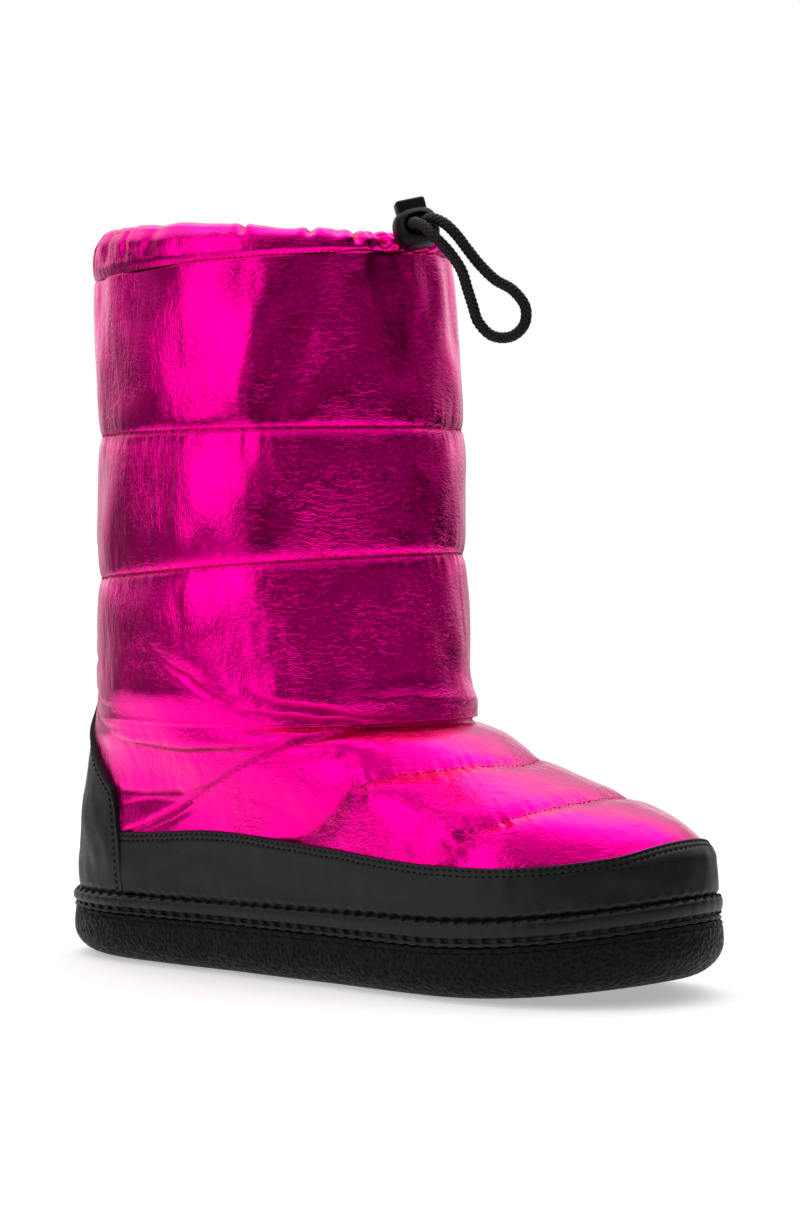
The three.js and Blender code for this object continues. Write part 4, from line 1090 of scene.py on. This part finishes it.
def cord_line():
    """The cord's centreline: a smooth curve through the same points as its solid."""
    socket_end = LOCK_STAND / math.cos(LOCK_YAW) + SOCKET_DEPTH
    outs = (-socket_end, -LOCK_LENGTH / 2, 0, LOCK_LENGTH / 2 + 1)
    side = (CORD_DIAMETER + STRAND_GAP) / 2
    inward = on_lock([(out, -side, SLOT_RISE) for out in outs])
    loop = LOCK_PLACE + swung(np.array(CORD_LOOP) * (1, -1, 1), LOOP_TURN)
    knots = np.concatenate([inward, loop, on_lock([(out, side, SLOT_RISE) for out in outs[::-1]])])
    knots = np.concatenate([[2 * knots[0] - knots[1]], knots, [2 * knots[-1] - knots[-2]]])
    line = []
    for p0, p1, p2, p3 in zip(knots, knots[1:], knots[2:], knots[3:]):
        t0, t1, t2 = (np.linalg.norm(b - a) ** 0.5 for a, b in ((p0, p1), (p1, p2), (p2, p3)))
        m1 = (p1 - p0) / t0 - (p2 - p0) / (t0 + t1) + (p2 - p1) / t1
        m2 = (p2 - p1) / t1 - (p3 - p1) / (t1 + t2) + (p3 - p2) / t2
        s = np.linspace(0, 1, 24, endpoint=False)[:, None]
        line.append(p1 * (2 * s**3 - 3 * s**2 + 1) + m1 * t1 * (s**3 - 2 * s**2 + s)
                    + p2 * (3 * s**2 - 2 * s**3) + m2 * t1 * (s**3 - s**2))
    return np.concatenate(line + [knots[-2:-1]])


raw_line = cord_line()
cord_run = run_along(raw_line)
CORD_ROWS, CORD_SIDES, BRAID_PITCH, BRAID_STRANDS = 700, 48, 11.0, 6
steps = np.linspace(0, cord_run[-1], CORD_ROWS)
cord_path = np.stack([np.interp(steps, cord_run, raw_line[:, k]) for k in range(3)], -1)
tangent = np.gradient(cord_path, axis=0)
tangent /= np.linalg.norm(tangent, axis=1)[:, None]
frames = [np.cross(tangent[0], (0, 0, 1.0))]
for ahead_of in tangent[1:]:
    carried = frames[-1] - ahead_of * (frames[-1] @ ahead_of)
    frames.append(carried)
first_side = np.array([f / np.linalg.norm(f) for f in frames])
second_side = np.cross(tangent, first_side)
angle, down_cord = np.meshgrid(turns(CORD_SIDES), steps)
# The braid's strands cross from left and right, and each goes over one and under one.
left = angle / FULL_TURN * BRAID_STRANDS + down_cord / BRAID_PITCH * BRAID_STRANDS
right = angle / FULL_TURN * BRAID_STRANDS - down_cord / BRAID_PITCH * BRAID_STRANDS
over_left = (np.floor(left) + np.floor(right)) % 2 < 1
arch_left, arch_right = np.sin(np.pi * (left % 1)), np.sin(np.pi * (right % 1))
hump = np.where(over_left, arch_left * arch_right**0.4, arch_right * arch_left**0.4)
radius = CORD_DIAMETER / 2 - 0.3 + 0.42 * hump
cord_points = cord_path[:, None] + radius[..., None] * (
    np.cos(angle)[..., None] * first_side[:, None] + np.sin(angle)[..., None] * second_side[:, None])
braid = material("braided_cord", {"Specular IOR Level": 0.25})
hairs = braid.noise(0.3, detail=3.0)
# Painted shade and highlight: the cord's colour is darker in the hollows between strands and lighter on their
# crests.
braid_shading = braid.node("Attribute", {"attribute_name": "strand"}, out="Fac")
braid_black = braid.feed(
    Base_Color=braid.mix(braid_shading ** 2.0, (0.0005, 0.0005, 0.0005, 1), (0.016, 0.016, 0.0165, 1)),
    Roughness=braid.ramp(hairs, (0.3, 0.4), (0.7, 0.6)),
    Normal=braid.bump(hairs, 0.15),
)
cord = shape("drawcord_braided", cord_points, woven(CORD_ROWS, CORD_SIDES)[:, ::-1], [braid_black])
mark(cord, "strand", hump)
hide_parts("drawcord")

# The cord lock's body: a rounded barrel of satin black moulded plastic with a slot that both strands
# pass through, a soft lip round each mouth of the slot, and a pocket above for the button.
BUTTON_WIDTH, BUTTON_DEPTH, BUTTON_STANDS, BUTTON_TRAVEL, BUTTON_BAR = 11, 5.6, 3.6, 3, 1.3
SLIDE_GAP, BARREL_COLUMNS, BARREL_ROWS, BARREL_FULLNESS = 0.3, 96, 60, 2.7
SLOT_WIDTH = CORD_DIAMETER + STRAND_GAP + CORD_DIAMETER + 2 * GAP
SLOT_HEIGHT = CORD_DIAMETER + 2 * GAP
BUTTON_LOW = SLOT_RISE - SLOT_HEIGHT / 2 - BUTTON_BAR
THROUGH = 20  # the length of a block that cuts right through
PLASTIC_BLACK = (0.001, 0.001, 0.0012, 1)


def rounded_block(size, corner, middle=(0, 0, 0), name="block", finish=None):
    """A block in the lock's frame with rounded edges."""
    block = shape(name, BLOCK_CORNERS * size + middle, BLOCK_FACES, [finish] if finish else [], None, None)
    if corner:
        soften = block.modifiers.new("corner", "BEVEL")
        soften.width, soften.segments, soften.limit_method = corner / 1000, 4, "NONE"
        apply_all(block)
    return block


def set_on_lock(piece):
    """Moves a mesh from the lock's own frame to its place on the boot."""
    points = np.array([v.co for v in piece.data.vertices]) * 1000
    piece.data.vertices.foreach_set("co", (on_lock(points) / 1000).ravel().astype(np.float32))
    piece.data.update()


barrel_rises = np.linspace(-np.pi / 2 + 0.02, np.pi / 2 - 0.02, BARREL_ROWS)
around, rises = np.meshgrid(turns(BARREL_COLUMNS), barrel_rises)
ball = np.stack([np.sin(rises), np.cos(rises) * np.cos(around), np.cos(rises) * np.sin(around)], -1)
half = np.array([LOCK_LENGTH, LOCK_WIDTH, LOCK_HEIGHT]) / 2
fullness = (np.abs(ball / half) ** BARREL_FULLNESS).sum(-1) ** (-1 / BARREL_FULLNESS)
barrel = ball * fullness[..., None]
last = (BARREL_ROWS - 1) * BARREL_COLUMNS
ball_faces = woven(BARREL_ROWS, BARREL_COLUMNS).tolist()
ball_faces += [range(BARREL_COLUMNS - 1, -1, -1), range(last, last + BARREL_COLUMNS)]
plastic = material("lock_plastic", {"Specular IOR Level": 0.16})
satin = plastic.noise(0.5, detail=3.0)
plastic_black = plastic.feed(
    Base_Color=plastic.mix(plastic.noise(6, detail=3.0), PLASTIC_BLACK, (0.0025, 0.0025, 0.003, 1)),
    Roughness=plastic.ramp(satin, (0.3, 0.33), (0.7, 0.46)),
    Normal=plastic.bump(satin, 0.05),
)
lock = shape("lock_barrel", barrel, ball_faces, [plastic_black], None, None)
carve(lock, rounded_block((2 * THROUGH, SLOT_WIDTH, SLOT_HEIGHT), 0, (0, 0, SLOT_RISE)))
for end in (-1, 1):
    mouth = ball * (3.4, 6.4, 4.7) + (end * (LOCK_LENGTH / 2 + 0.4), 0, SLOT_RISE)
    carve(lock, shape("mouth", mouth, ball_faces, [], None, None))
pocket = (BUTTON_DEPTH + 2 * SLIDE_GAP, BUTTON_WIDTH + 2 * SLIDE_GAP, THROUGH)
pocket_floor = BUTTON_LOW - BUTTON_TRAVEL - SLIDE_GAP
carve(lock, rounded_block(pocket, 0, (0, 0, pocket_floor + THROUGH / 2)))
lock.data.set_sharp_from_angle(angle=math.radians(35))
set_on_lock(lock)
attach(lock, "boot")
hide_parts("cord_lock_body")

# The lock's button: a sprung slab of the same plastic. Both strands pass through its window, and it is
# pressed down into the barrel to let them slide.
button_top = LOCK_HEIGHT / 2 + BUTTON_STANDS
slab = (BUTTON_DEPTH, BUTTON_WIDTH, button_top - BUTTON_LOW)
button = rounded_block(slab, 1.1, (0, 0, (button_top + BUTTON_LOW) / 2), "lock_button", plastic_black)
window_low, window_high = BUTTON_LOW + BUTTON_BAR, SLOT_RISE + SLOT_HEIGHT / 2 + BUTTON_TRAVEL
window = (THROUGH, SLOT_WIDTH, window_high - window_low)
carve(button, rounded_block(window, 0, (0, 0, (window_high + window_low) / 2)))
button.data.set_sharp_from_angle(angle=math.radians(35))
set_on_lock(button)
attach(button, "button")
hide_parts("cord_lock_button")

# The bounds of the solids from model.glb.
low, high = cad_box
